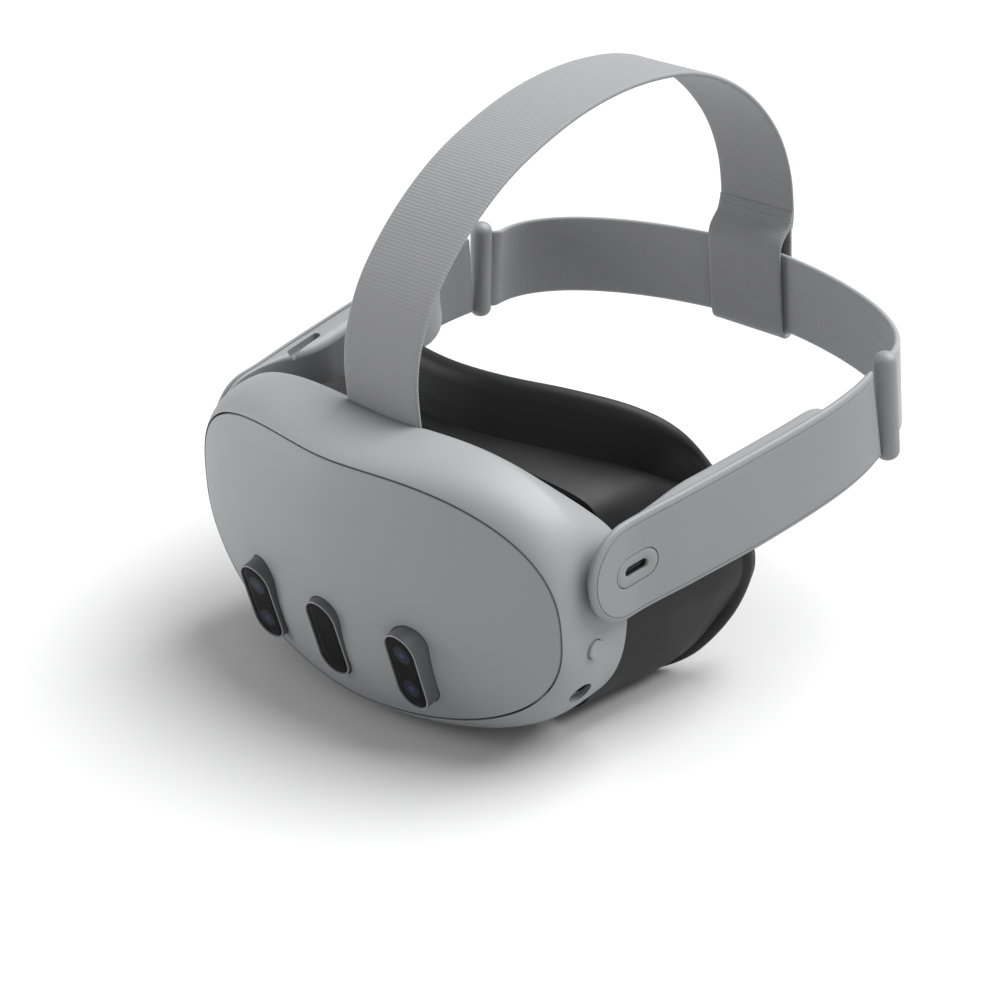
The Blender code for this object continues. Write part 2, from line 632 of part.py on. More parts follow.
def make_drive():
    rack_z = DRIVE_Z + PINION_RADIUS
    left = rack_outline(-8 * MM, WHEEL_X + 12 * MM, rack_z, 6 * MM, 0.0, down=True)
    add_piece("left_rack", prism("rack", left, RACK_Y, RACK_Y + RACK_THICK), BLACK_PLASTIC, LEFT_OPTICS)
    right = rack_outline(-38 * MM, 8 * MM, DRIVE_Z - PINION_RADIUS, 2.4 * MM, 0.0, down=False)
    rack = add_piece("right_rack", prism("rack", right, RACK_Y, RACK_Y + RACK_THICK), BLACK_PLASTIC,
                     RIGHT_OPTICS)
    join(rack, box("tab", (-38 * MM, RACK_Y, DRIVE_Z - PINION_RADIUS - 2 * MM),
                   (-28 * MM, RACK_Y + RACK_THICK, EYE_Z - BARREL_RADIUS)))
    phase = math.pi / 2 + math.pi / PINION_TEETH
    for name, x, body in (("ipd_wheel", WHEEL_X, WHEEL), ("ipd_idler", 0.0, IDLER)):
        teeth = gear_outline(x, DRIVE_Z, phase)
        high_y = WHEEL_Y + 0.6 * MM if body is WHEEL else RACK_Y + RACK_THICK
        pinion = add_piece(name, prism(name, teeth, RACK_Y, high_y), BLACK_PLASTIC, body)
        if body is WHEEL:
            disc = rod("disc", (x, WHEEL_Y, DRIVE_Z), (x, WHEEL_Y + WHEEL_THICK, DRIVE_Z), WHEEL_RADIUS, 30)
            join(pinion, disc)


def make_rear_cover():
    outline = superellipse(76 * MM, 33 * MM, 43 * MM, 3.0, 3.0)
    cover = add_piece("rear_cover", prism("rear_cover", outline, COVER_Y, COVER_Y + SHELL), BLACK_PLASTIC, ROOT)
    for x in (EYE_X, -EYE_X):
        cut(cover, prism("eye_opening", superellipse_at(x, EYE_Z, 24.5 * MM, 22 * MM, 2.3, 28),
                         10 * MM, 40 * MM))
    add_piece("proximity_sensor", prism("sensor", superellipse_at(0, 22 * MM, 3.5 * MM, 2.2 * MM, 3, 16),
                                        COVER_Y + SHELL + GAP, COVER_Y + SHELL + 1.5 * MM), DARK_GLASS, ROOT)
    add_piece("strap_anchor", rod("anchor", (-TOP_STRAP_HALF - 1 * MM, ANCHOR_Y, ANCHOR_Z),
                                  (TOP_STRAP_HALF + 1 * MM, ANCHOR_Y, ANCHOR_Z), ANCHOR_RADIUS, 14),
              STEEL, ROOT)


# ---------------------------------------------------------------- arms

ARM_ALONG = (ARM_END - ARM_PIVOT).normalized()
ARM_UP = Vector((0.0, -ARM_ALONG.z, ARM_ALONG.y))
ARM_LENGTH = (ARM_END - ARM_PIVOT).length


def table_value(table, at):
    """Smooth value between the middle pairs of a table of (position, value)."""
    k = max(1, min(len(table) - 3, sum(1 for position, _ in table if position <= at) - 1))
    (x0, y0), (x1, y1), (x2, y2), (x3, y3) = table[k - 1:k + 3]
    t = (at - x1) / (x2 - x1)
    first, last = (y2 - y0) / (x2 - x0) * (x2 - x1), (y3 - y1) / (x3 - x1) * (x2 - x1)
    return ((2 * t ** 3 - 3 * t ** 2 + 1) * y1 + (t ** 3 - 2 * t ** 2 + t) * first
            + (3 * t ** 2 - 2 * t ** 3) * y2 + (t ** 3 - t ** 2) * last) if at > x1 else y1


def arm_point(sign, u, v, depth):
    """A point of an arm: along it from the pivot, up across it, and in from its outer face."""
    share = u / ARM_LENGTH
    x = ARM_X - depth + table_value(ARM_BOW, share) * MM - v * math.sin(math.radians(table_value(ARM_LEAN, share)))
    point = ARM_PIVOT + ARM_ALONG * u + ARM_UP * v
    return Vector((sign * x, point.y, point.z))


def arm_half_height(u, inset=0.0):
    radius = ARM_HALF_HEIGHT - inset
    if u < 0:
        return math.sqrt(max(radius ** 2 - u ** 2, 0.0))
    return radius + (ARM_END_HALF_HEIGHT - ARM_HALF_HEIGHT) * u / ARM_LENGTH


def arm_stations(inset, end):
    radius = ARM_HALF_HEIGHT - inset
    rounded = [-radius * math.cos(math.pi / 2 * k / 7) for k in (0.6, 1.6, 2.7, 4, 5.5)]
    return rounded + [end * k / 12 for k in range(13)]


def make_arm_plate(sign):
    rings = []
    for u in arm_stations(0.0, ARM_LENGTH - BAR_RADIUS - 1.6 * MM):
        h, c = arm_half_height(u), PLATE_CHAMFER
        rings.append([arm_point(sign, u, v, depth) for v, depth in (
            (-h, PLATE_THICK), (-h, c), (-h + c, 0), (h - c, 0), (h, c), (h, PLATE_THICK))])
    return loft("arm_plate", rings)


def make_speaker_housing(sign):
    rings = []
    end_start = SPEAKER_END - ARM_HALF_HEIGHT * 0.8
    stations = arm_stations(SPEAKER_INSET, end_start)[:6] + [6 * MM, SPEAKER_START, 19 * MM, SPEAKER_FULL,
                                                              45 * MM, 65 * MM, end_start]
    stations += [end_start + (SPEAKER_END - end_start) * k for k in (0.35, 0.65, 0.85, 0.96)]
    for u in stations:
        h = arm_half_height(u, SPEAKER_INSET)
        thick = SPEAKER_FRONT + (SPEAKER_THICK - SPEAKER_FRONT) * smoothstep(SPEAKER_START, SPEAKER_FULL, u)
        if u > end_start:
            round_off = math.sqrt(1 - ((u - end_start) / (SPEAKER_END - end_start)) ** 2)
            h *= 0.35 + 0.65 * round_off
            thick *= 0.3 + 0.7 * round_off
        top, deep, c = PLATE_THICK + GAP, PLATE_THICK + GAP + thick, min(thick * 0.45, 2.5 * MM)
        rings.append([arm_point(sign, u, v, depth) for v, depth in (
            (-h, top), (h, top), (h, deep - c), (h - c, deep), (-h + c, deep), (-h, deep - c))])
    return loft("speaker_housing", rings)


def arm_block(sign, u_range, v_range, depth_range):
    """A block in arm coordinates."""
    rings = []
    for u in u_range:
        rings.append([arm_point(sign, u, v, depth) for v, depth in (
            (v_range[0], depth_range[0]), (v_range[1], depth_range[0]),
            (v_range[1], depth_range[1]), (v_range[0], depth_range[1]))])
    return loft("block", rings)


def arm_oval(sign, u_middle, length, height, depth_range, arc=8):
    """An oval prism through the arm's side, its long axis along the arm."""
    rings = []
    for depth in depth_range:
        outline = stadium(0, 0, height, length, arc)
        rings.append([arm_point(sign, u_middle + b, -a, depth) for a, b in outline])
    return loft("oval", rings)


def make_arm(sign, side, body):
    plate_piece = add_piece(f"{side}_arm_plate", make_arm_plate(sign), GREY_PLASTIC, body)
    speaker = add_piece(f"{side}_speaker_housing", make_speaker_housing(sign), GREY_PLASTIC, body)
    pin_low, pin_high = sign * (ARM_X - 16 * MM), sign * (ARM_X - PLATE_THICK - 0.1 * MM)
    cut(speaker, rod("pin_hole", (pin_low, ARM_PIVOT.y, ARM_PIVOT.z), (pin_high, ARM_PIVOT.y, ARM_PIVOT.z),
                     PIVOT_RADIUS + GAP, 20))
    pocket = (PLATE_THICK - 0.5 * MM, PLATE_THICK + GAP + 5.2 * MM)
    cut(speaker, arm_block(sign, (36 * MM, 66 * MM), (-9 * MM, 9 * MM), pocket))
    cut(speaker, arm_block(sign, (34 * MM, 48 * MM), (13.2 * MM, 20 * MM), (4.6 * MM, 7.4 * MM)))
    driver = arm_block(sign, (37 * MM, 65 * MM), (-8 * MM, 8 * MM),
                       (PLATE_THICK + 2 * GAP, PLATE_THICK + GAP + 4.6 * MM))
    add_piece(f"{side}_speaker", driver, BLACK_PLASTIC, body)
    top, low = (Vector((sign * end.x, end.y, end.z)) for end in (BAR_TOP, BAR_BOTTOM))
    spin = (top - low).to_track_quat("Z", "Y")
    rings = []
    for share, scale in ((0, 0.45), (0.02, 0.85), (0.06, 1.0), (0.94, 1.0), (0.98, 0.85), (1, 0.45)):
        radius = BAR_RADIUS * scale
        rings.append([low.lerp(top, share) + spin @ Vector((a, b, 0)) for a, b in circle(0, 0, radius, 16)])
    add_piece(f"{side}_strap_bar", loft("strap_bar", rings), GREY_PLASTIC, body)
    if side == "left":
        cut(plate_piece, arm_oval(sign, PORT_U, PORT_LENGTH + 2 * GAP, PORT_HEIGHT + 2 * GAP, (-2 * MM, 4 * MM)))
        insert = add_piece("charging_port", arm_oval(sign, PORT_U, PORT_LENGTH, PORT_HEIGHT,
                                                     (0.3 * MM, PLATE_THICK)), GREY_PLASTIC, body)
        cut(insert, arm_oval(sign, PORT_U, PORT_MOUTH, PORT_MOUTH_HEIGHT, (-1 * MM, 5 * MM), 5))


# ---------------------------------------------------------------- straps

def band_frame(t):
    """Middle, up and outward directions of the rear band, from 0 at the left to pi at the right."""
    start_y = ARM_END.y + BAR_RADIUS + 2.2 * MM
    c, s = math.cos(t), math.sin(t)
    half = BAND_HALF_WIDTH
    x = math.copysign(half * abs(c) ** BAND_SIDE_POWER, c)
    y = start_y + (BAND_REAR_Y - start_y) * abs(s) ** BAND_BACK_POWER
    z = ARM_END.z + (BAND_REAR_Z - ARM_END.z) * (y - start_y) / (BAND_REAR_Y - start_y)
    out = Vector((c / half, s / (BAND_REAR_Y - start_y), 0)).normalized()
    lean = BAND_START_LEAN + (BAND_REAR_LEAN - BAND_START_LEAN) * abs(s)
    up = (Vector((0, 0, 1)) * math.cos(lean) - out * math.sin(lean)).normalized()
    return Vector((x, y, z)), up, out


def make_straps():
    frames = [band_frame(math.pi * (k + 0.02) / 28.04) for k in range(29)]
    band = ribbon("rear_band", [f[0] for f in frames], [f[1] for f in frames], BAND_HALF_HEIGHT,
                  STRAP_THICK, [f[2] for f in frames])
    add_piece("rear_band", band, FABRIC, LEFT_ARM)
    path = smooth_path(TOP_STRAP, 34)
    tangents = [(path[min(i + 1, 33)] - path[max(i - 1, 0)]).normalized() for i in range(34)]
    side = Vector((1, 0, 0))
    top = ribbon("top_strap", path, [side] * 34, TOP_STRAP_HALF, STRAP_THICK,
                 [side.cross(tangent) for tangent in tangents])
    add_piece("top_strap", top, FABRIC, LEFT_ARM)
    middle, up, out = band_frame(math.pi / 2)
    middle -= out * 0.5 * MM
    rings = []
    for x, shrink in ((-TOP_STRAP_HALF, 1), (TOP_STRAP_HALF, 1), (TOP_STRAP_HALF, 0), (-TOP_STRAP_HALF, 0)):
        wall = LOOP_WALL * shrink
        half_z = BAND_HALF_HEIGHT + 5 * GAP + wall
        outline = stadium(0, 0, STRAP_THICK + 9 * GAP + 2 * wall, 2 * half_z, 4)
        rings.append([Vector((x, 0, 0)) + middle + out * a + up * b for a, b in outline])
    add_piece("strap_loop", loft("strap_loop", rings, wrap=True), FABRIC, LEFT_ARM)


# ---------------------------------------------------------------- facial interface

def rim_loop():
    """Closed rim points with their outward directions in the XZ plane."""
    mirrored = [Vector((-p.x, p.y, p.z)) for p in reversed(RIM[1:-1])]
    points = smooth_path(RIM + mirrored, RIM_POINTS, closed=True)
    count = len(points)
    result = []
    for i, point in enumerate(points):
        step = points[(i + 1) % count] - points[i - 1]
        out = Vector((-step.z, 0, step.x)).normalized()
        result.append((point, out))
    return result


def brow_drop(point):
    """How far the body of the interface lies below the rim at the brow."""
    return BROW_FLANGE * smoothstep(20 * MM, 50 * MM, point.z)


def interface_ring(inward, grow, y_of):
    """A ring from the rim (inward 0) to the body inside it (inward 1), grown away from the centre."""
    ring = []
    for point, out in rim_loop():
        step = SIDE_FLANGE - CHEEK_FULLNESS * smoothstep(20 * MM, 40 * MM, -point.z)
        base = point + out * (grow - step * inward)
        ring.append(Vector((base.x, y_of(point), base.z - brow_drop(point) * inward)))
    return ring


def interface_front(point):
    """Depth of the interface's front edge, which follows the housing's rear edge."""
    return rear_y(point.z - brow_drop(point) - 2 * SHELL) + INTERFACE_GAP


def interface_joint(point):
    return interface_front(point) + FRAME_DEPTH


def make_interface():
    frame_rings = [interface_ring(1, 0, interface_front), interface_ring(1, 0, interface_joint),
                   interface_ring(1, -CUSHION_WALL, interface_joint),
                   interface_ring(1, -CUSHION_WALL, interface_front)]
    frame = add_piece("interface_frame", loft("interface_frame", frame_rings, wrap=True), BLACK_PLASTIC, INTERFACE)
    rings = []
    for inward, grow, y_of in (
            (1, 0, lambda p: interface_joint(p) + 2 * GAP),
            (1, 0, lambda p: p.y - RIM_ROLL - 1.0 * MM),
            (0.5, 0, lambda p: p.y - RIM_ROLL + 0.5 * MM),
            (0, RIM_ROLL * 0.5, lambda p: p.y - RIM_ROLL * 0.8),
            (0, RIM_ROLL, lambda p: p.y),
            (0, RIM_ROLL * 0.5, lambda p: p.y + RIM_ROLL * 0.8),
            (0, -RIM_ROLL * 0.8, lambda p: p.y + RIM_ROLL * 0.7),
            (1, -CUSHION_WALL, lambda p: p.y - 1.0 * MM),
            (1, -CUSHION_WALL, lambda p: interface_joint(p) + 2 * GAP)):
        rings.append(interface_ring(inward, grow, y_of))
    add_piece("face_cushion", loft("face_cushion", rings, wrap=True), RUBBER, INTERFACE)
    for sign, side, holder in ((1, "left", LEFT_DEPTH), (-1, "right", RIGHT_DEPTH)):
        middle = Vector((sign * DEPTH_BUTTON_X, DEPTH_BUTTON_Y, 0.0))
        half = Vector((2.8 * MM, 1.7 * MM, 5.0 * MM))
        grown = half + Vector((5 * MM, GAP, GAP))
        cut(frame, box("button_hole", middle - grown, middle + grown))
        add_piece(f"{side}_depth_button", box("depth_button", middle - half, middle + half), BLACK_PLASTIC, holder)


# ---------------------------------------------------------------- the whole

clear_scene()
PARTS = collection("headset")
CUTTERS = collection("cutters")

GREY_PLASTIC = material("grey_plastic", (0.56, 0.56, 0.57), 0.45)
BLACK_PLASTIC = material("black_plastic", (0.03, 0.03, 0.032), 0.5)
DARK_GLASS = material("dark_glass", (0.008, 0.008, 0.012), 0.08)
GLASS = material("lens_glass", (0.7, 0.75, 0.8), 0.05)
RUBBER = material("rubber", (0.035, 0.035, 0.037), 0.55)
FABRIC = material("strap_fabric", (0.52, 0.52, 0.53), 0.85)
STEEL = material("steel", (0.6, 0.6, 0.6), 0.3, 1.0)
ALUMINIUM = material("aluminium", (0.7, 0.7, 0.72), 0.4, 1.0)
BRASS = material("brass", (0.8, 0.6, 0.25), 0.3, 1.0)
GREEN_BOARD = material("circuit_board", (0.02, 0.16, 0.07), 0.5)

ROOT = body_empty("headset_frame", (0.0, FRAME_Y, FRAME_Z))
LEFT_ARM = body_empty("left_arm_axis", ARM_PIVOT, ROOT)
RIGHT_ARM = body_empty("right_arm_axis", ARM_PIVOT, ROOT)
INTERFACE = body_empty("interface_slide", (0.0, REAR_Y, 0.0), ROOT)
LEFT_DEPTH = body_empty("left_depth_press", (DEPTH_BUTTON_X, DEPTH_BUTTON_Y, 0.0), ROOT)
RIGHT_DEPTH = body_empty("right_depth_press", (-DEPTH_BUTTON_X, DEPTH_BUTTON_Y, 0.0), ROOT)
LEFT_OPTICS = body_empty("left_optics_slide", (EYE_X, ROD_Y, EYE_Z), ROOT)
RIGHT_OPTICS = body_empty("right_optics_slide", (-EYE_X, ROD_Y, EYE_Z), ROOT)
WHEEL = body_empty("ipd_wheel_axis", (WHEEL_X, WHEEL_Y, DRIVE_Z), ROOT)
IDLER = body_empty("ipd_idler_axis", (0.0, RACK_Y, DRIVE_Z), ROOT)
FAN = body_empty("fan_axis", (0.0, 0.0, FAN_Z), ROOT)
POWER = body_empty("power_press", (BODY_HALF_WIDTH, POWER_Y, POWER_Z), ROOT)
VOLUME = body_empty("volume_axis", ROCKER, ROOT)

make_front_cover()
make_camera_windows()
make_housing()
make_side_pieces()
make_electronics()
make_optics()
make_drive()
make_rear_cover()
for arm_sign, arm_side, arm_body in ((1, "left", LEFT_ARM), (-1, "right", RIGHT_ARM)):
    make_arm(arm_sign, arm_side, arm_body)
make_straps()
make_interface()
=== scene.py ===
"""A head-worn display with side arms, straps and a facial interface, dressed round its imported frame.

Shapes are worked out in millimetres about the middle of the front seam, with the wearer's left
on +X, the front on -Y and up on +Z, and are put in the frame's metres when a mesh is made.
"""

import sys

import logging
import math
from dataclasses import dataclass, field
from enum import Enum
from typing import Callable, Iterable, Optional, Sequence

import bmesh
import bpy
from mathutils import Matrix, Vector


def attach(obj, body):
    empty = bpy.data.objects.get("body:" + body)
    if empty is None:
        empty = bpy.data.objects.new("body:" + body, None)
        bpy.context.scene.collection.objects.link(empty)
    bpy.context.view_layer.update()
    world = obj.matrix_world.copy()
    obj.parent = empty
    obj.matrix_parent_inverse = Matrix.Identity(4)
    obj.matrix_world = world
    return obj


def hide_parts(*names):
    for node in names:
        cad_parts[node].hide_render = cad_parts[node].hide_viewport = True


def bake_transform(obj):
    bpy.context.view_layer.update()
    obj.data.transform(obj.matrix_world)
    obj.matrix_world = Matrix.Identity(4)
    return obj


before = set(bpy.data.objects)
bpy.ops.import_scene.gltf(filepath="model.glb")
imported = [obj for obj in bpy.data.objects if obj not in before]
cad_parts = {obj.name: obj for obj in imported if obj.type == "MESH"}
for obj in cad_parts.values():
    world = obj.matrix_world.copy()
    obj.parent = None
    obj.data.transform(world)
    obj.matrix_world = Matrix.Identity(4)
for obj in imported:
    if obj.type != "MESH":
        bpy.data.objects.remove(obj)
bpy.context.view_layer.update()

LOG = logging.getLogger("headset")
MM = 0.001
ORIGIN = Vector((0.0, -84.3, 50.42))     # the seam's middle in the frame, in mm
GAP = 0.3
SHELL = 2.0
SHARP_ANGLE = math.radians(38)

Ring = list[Vector]
Outline = list[tuple[float, float]]
Growth = float | Callable[[Vector], float]


class Side(Enum):
    """The wearer's sides, with their sign along X."""

    LEFT = 1
    RIGHT = -1

    @property
    def label(self) -> str:
        """The side's name in lower case."""
        return self.name.lower()

    @property
    def arm_body(self) -> str:
        """The body that this side's arm rides on."""
        return f"{self.label}_arm"


class Window(Enum):
    """The three camera windows: distance along X and depth of the face's middle."""

    RIGHT = (-33.5, -18.6)
    MIDDLE = (0.0, -20.7)
    LEFT = (33.5, -18.6)


class Slot(Enum):
    """Material slots of the record."""

    GREY = "grey_plastic"
    BLACK = "black_plastic"
    GLASS = "dark_glass"
    LENS = "lens_glass"
    RUBBER = "rubber"
    FABRIC = "strap_fabric"


# ---------------------------------------------------------------- finishes


class Graph:
    """A material's nodes, with short calls for what the finishes share."""

    def __init__(self, name: str) -> None:
        """Start a material.

        Args:
            name: the material's name.
        """
        self.material = bpy.data.materials.new(name)
        self.material.use_nodes = True
        self.tree = self.material.node_tree
        self.shader = self.tree.nodes["Principled BSDF"]

    def node(self, kind: str, *links: object, **options: object) -> bpy.types.Node:
        """Add a node.

        Args:
            kind: the node's type.
            links: what feeds its inputs in order; a number or tuple sets one, None leaves it.
            options: attributes of the node itself.

        Returns:
            The new node.
        """
        made = self.tree.nodes.new(kind)
        for key, value in options.items():
            setattr(made, key, value)
        for socket, source in zip(made.inputs, links):
            if isinstance(source, bpy.types.NodeSocket):
                self.tree.links.new(source, socket)
            elif source is not None:
                socket.default_value = source
        return made

    def math(self, operation: str, *links: object) -> bpy.types.NodeSocket:
        """One Math node's result.

        Args:
            operation: what it does.
            links: its inputs.

        Returns:
            Its output.
        """
        return self.node("ShaderNodeMath", *links, operation=operation).outputs[0]

    def position(self) -> bpy.types.NodeSocket:
        """The object coordinates, in metres."""
        return self.node("ShaderNodeTexCoord").outputs["Object"]

    def flat(self) -> tuple[bpy.types.NodeSocket, bpy.types.NodeSocket]:
        """The two UV coordinates of a strip: across and along it, in metres."""
        split = self.node("ShaderNodeSeparateXYZ", self.node("ShaderNodeUVMap", uv_map="UVMap").outputs[0])
        return split.outputs[0], split.outputs[1]

    def noise(self, scale: float, detail: float = 2.0,
              vector: Optional[bpy.types.NodeSocket] = None) -> bpy.types.NodeSocket:
        """Noise over the object.

        Args:
            scale: features per metre.
            detail: octaves.
            vector: other coordinates than the object's.

        Returns:
            A value from 0 to 1.
        """
        made = self.node("ShaderNodeTexNoise", vector or self.position())
        made.inputs["Scale"].default_value = scale
        made.inputs["Detail"].default_value = detail
        return made.outputs["Fac"]

    def span(self, value: bpy.types.NodeSocket, low: float, high: float,
             from_low: float = 0.3, from_high: float = 0.7) -> bpy.types.NodeSocket:
        """Spread a value between two others.

        Args:
            value: what is spread.
            low: the result at from_low.
            high: the result at from_high.
            from_low: lower end of the value's range.
            from_high: upper end of the value's range.

        Returns:
            The spread value.
        """
        return self.node("ShaderNodeMapRange", value, from_low, from_high, low, high).outputs[0]

    def tint(self, colour: Sequence[float], factor: bpy.types.NodeSocket) -> None:
        """Set the base colour to a colour times a factor.

        Args:
            colour: linear red, green and blue.
            factor: the varying factor.
        """
        made = self.node("ShaderNodeVectorMath", tuple(colour), operation="SCALE")
        self.tree.links.new(factor, made.inputs["Scale"])
        self.tree.links.new(made.outputs[0], self.shader.inputs["Base Color"])

    def relief(self, height: bpy.types.NodeSocket, distance: float, strength: float = 1.0) -> None:
        """Set the bump.

        Args:
            height: the relief's height.
            distance: its depth in metres.
            strength: how much of it shows.
        """
        bump = self.node("ShaderNodeBump")
        bump.inputs["Strength"].default_value = strength
        bump.inputs["Distance"].default_value = distance
        self.tree.links.new(height, bump.inputs["Height"])
        self.tree.links.new(bump.outputs[0], self.shader.inputs["Normal"])

    def set(self, **values: float) -> None:
        """Set constants on the shader; underscores stand for spaces."""
        for key, value in values.items():
            self.shader.inputs[key.replace("_", " ")].default_value = value

    def rough(self, value: bpy.types.NodeSocket) -> None:
        """Feed the roughness."""
        self.tree.links.new(value, self.shader.inputs["Roughness"])


@dataclass(frozen=True)
class Moulded:
    """Spark-eroded satin plastic, with a fine even grain and faint handling marks."""

    name: str
    colour: tuple[float, float, float]
    roughness: float = 0.42
    grain: float = 0.000014

    def build(self) -> bpy.types.Material:
        """Make the material."""
        graph = Graph(self.name)
        broad, fine = graph.noise(38.0, 3.0), graph.noise(4200.0, 1.0)
        mottle = graph.math("MULTIPLY_ADD", broad, 0.05, 0.945)
        graph.tint(self.colour, graph.math("MULTIPLY_ADD", fine, 0.06, mottle))
        satin = graph.span(broad, self.roughness - 0.04, self.roughness + 0.05)
        graph.rough(graph.math("MULTIPLY_ADD", fine, 0.05, satin))
        graph.relief(fine, self.grain)
        graph.set(Specular_IOR_Level=0.5)
        return graph.material


@dataclass(frozen=True)
class SoftRubber:
    """Silky moulded rubber with shallow pores and a dusty sheen."""

    name: str
    colour: tuple[float, float, float]

    def build(self) -> bpy.types.Material:
        """Make the material."""
        graph = Graph(self.name)
        cloud, pores = graph.noise(55.0, 3.0), graph.noise(2600.0, 2.0)
        graph.tint(self.colour, graph.span(cloud, 0.88, 1.14))
        graph.rough(graph.math("MULTIPLY_ADD", pores, 0.1, graph.span(cloud, 0.46, 0.56)))
        graph.relief(pores, 0.00003, 0.7)
        graph.set(Sheen_Weight=0.04, Sheen_Roughness=0.5, Specular_IOR_Level=0.28)
        return graph.material


@dataclass(frozen=True)
class Glass:
    """Tinted glass over a black backing, with faint wiping marks."""

    name: str
    colour: tuple[float, float, float]
    clear: float = 0.0
    shine: float = 0.05

    def build(self) -> bpy.types.Material:
        """Make the material."""
        graph = Graph(self.name)
        smear = graph.noise(120.0, 3.0)
        graph.tint(self.colour, graph.span(smear, 0.9, 1.1))
        graph.rough(graph.span(smear, 0.05, 0.11))
        graph.relief(graph.noise(300.0), 0.000002)
        graph.set(Specular_IOR_Level=self.shine, Transmission_Weight=self.clear)
        return graph.material


@dataclass(frozen=True)
class CoatedLens:
    """A small camera lens: dark rings round a violet coating. U is the share of the radius."""

    name: str

    def build(self) -> bpy.types.Material:
        """Make the material."""
        graph = Graph(self.name)
        radius, _ = graph.flat()
        ramp = graph.node("ShaderNodeValToRGB", radius)
        stops = ((0.0, (0.05, 0.045, 0.12)), (0.28, (0.022, 0.02, 0.06)), (0.42, (0.009, 0.009, 0.02)),
                 (0.6, (0.016, 0.015, 0.036)), (0.82, (0.008, 0.008, 0.011)), (1.0, (0.007, 0.007, 0.009)))
        elements = ramp.color_ramp.elements
        while len(elements) < len(stops):
            elements.new(0.5)
        for element, (place, colour) in zip(elements, stops):
            element.position = place
            element.color = (*colour, 1.0)
        graph.tree.links.new(ramp.outputs[0], graph.shader.inputs["Base Color"])
        graph.rough(graph.span(graph.noise(200.0), 0.04, 0.08))
        graph.set(Specular_IOR_Level=0.16)
        return graph.material


@dataclass(frozen=True)
class Woven:
    """Webbing with raised cross ribs, lengthwise cords and a fine thread; U and V are in metres."""

    name: str
    colour: tuple[float, float, float]
    half_width: float
    rib: float = 0.0012
    cord: float = 0.0012
    rib_height: float = 0.5
    cord_height: float = 0.32
    depth: float = 0.00006

    def build(self) -> bpy.types.Material:
        """Make the material."""
        graph = Graph(self.name)
        across, along = graph.flat()
        thread = 0.00042

        def wave(value: bpy.types.NodeSocket, pitch: float) -> bpy.types.NodeSocket:
            """A sine along a coordinate, one turn to a pitch."""
            return graph.math("SINE", graph.math("MULTIPLY", value, 2 * math.pi / pitch))

        ribs, cords = wave(along, self.rib), wave(across, self.cord)
        twill = graph.math("MULTIPLY", wave(along, thread), wave(across, thread))
        base = graph.math("MULTIPLY_ADD", cords, self.cord_height, graph.math("MULTIPLY", ribs, self.rib_height))
        height = graph.math("MULTIPLY_ADD", twill, 0.22, base)
        fibre = graph.noise(2400.0, 3.0)
        edge = graph.span(graph.math("ABSOLUTE", across), 0.0, 0.10,
                          self.half_width - 0.0014, self.half_width - 0.0006)
        # Painted shade: darker in the troughs between ribs and cords; the fibre noise adds random tone.
        shade = graph.math("MULTIPLY_ADD", height, 0.04, graph.span(fibre, 0.93, 1.05))
        graph.tint(self.colour, graph.math("ADD", shade, edge))
        graph.rough(graph.span(fibre, 0.78, 0.92))
        graph.relief(graph.math("MULTIPLY_ADD", fibre, 0.2, height), self.depth)
        graph.set(Sheen_Weight=0.22, Sheen_Roughness=0.45, Specular_IOR_Level=0.25)
        return graph.material


@dataclass(frozen=True)
class Metal:
    """Turned or milled metal with tool lines."""

    name: str
    colour: tuple[float, float, float]
    roughness: float = 0.3

    def build(self) -> bpy.types.Material:
        """Make the material."""
        graph = Graph(self.name)
        stretched = graph.node("ShaderNodeMapping", graph.position())
        stretched.inputs["Scale"].default_value = (0.15, 1.0, 1.0)
        lines = graph.noise(2500.0, 2.0, stretched.outputs[0])
        graph.tint(self.colour, graph.span(lines, 0.92, 1.06))
        graph.rough(graph.span(lines, self.roughness - 0.06, self.roughness + 0.08))
        graph.relief(lines, 0.000008)
        graph.set(Metallic=1.0)
        return graph.material


@dataclass(frozen=True)
class Board:
    """A circuit board: solder mask over copper tracks."""

    name: str

    def build(self) -> bpy.types.Material:
        """Make the material."""
        graph = Graph(self.name)
        turned = graph.node("ShaderNodeMapping", graph.position())
        turned.inputs["Rotation"].default_value = (math.pi / 2, 0.0, 0.0)
        tracks = graph.node("ShaderNodeTexBrick", turned.outputs[0])
        for key, value in (("Scale", 420.0), ("Mortar Size", 0.012), ("Brick Width", 1.6), ("Row Height", 0.35)):
            tracks.inputs[key].default_value = value
        graph.tint((0.012, 0.11, 0.045), graph.math("MULTIPLY_ADD", tracks.outputs["Fac"], 0.9, 0.85))
        graph.rough(graph.span(graph.noise(900.0), 0.32, 0.45))
        graph.relief(tracks.outputs["Fac"], 0.00003)
        return graph.material


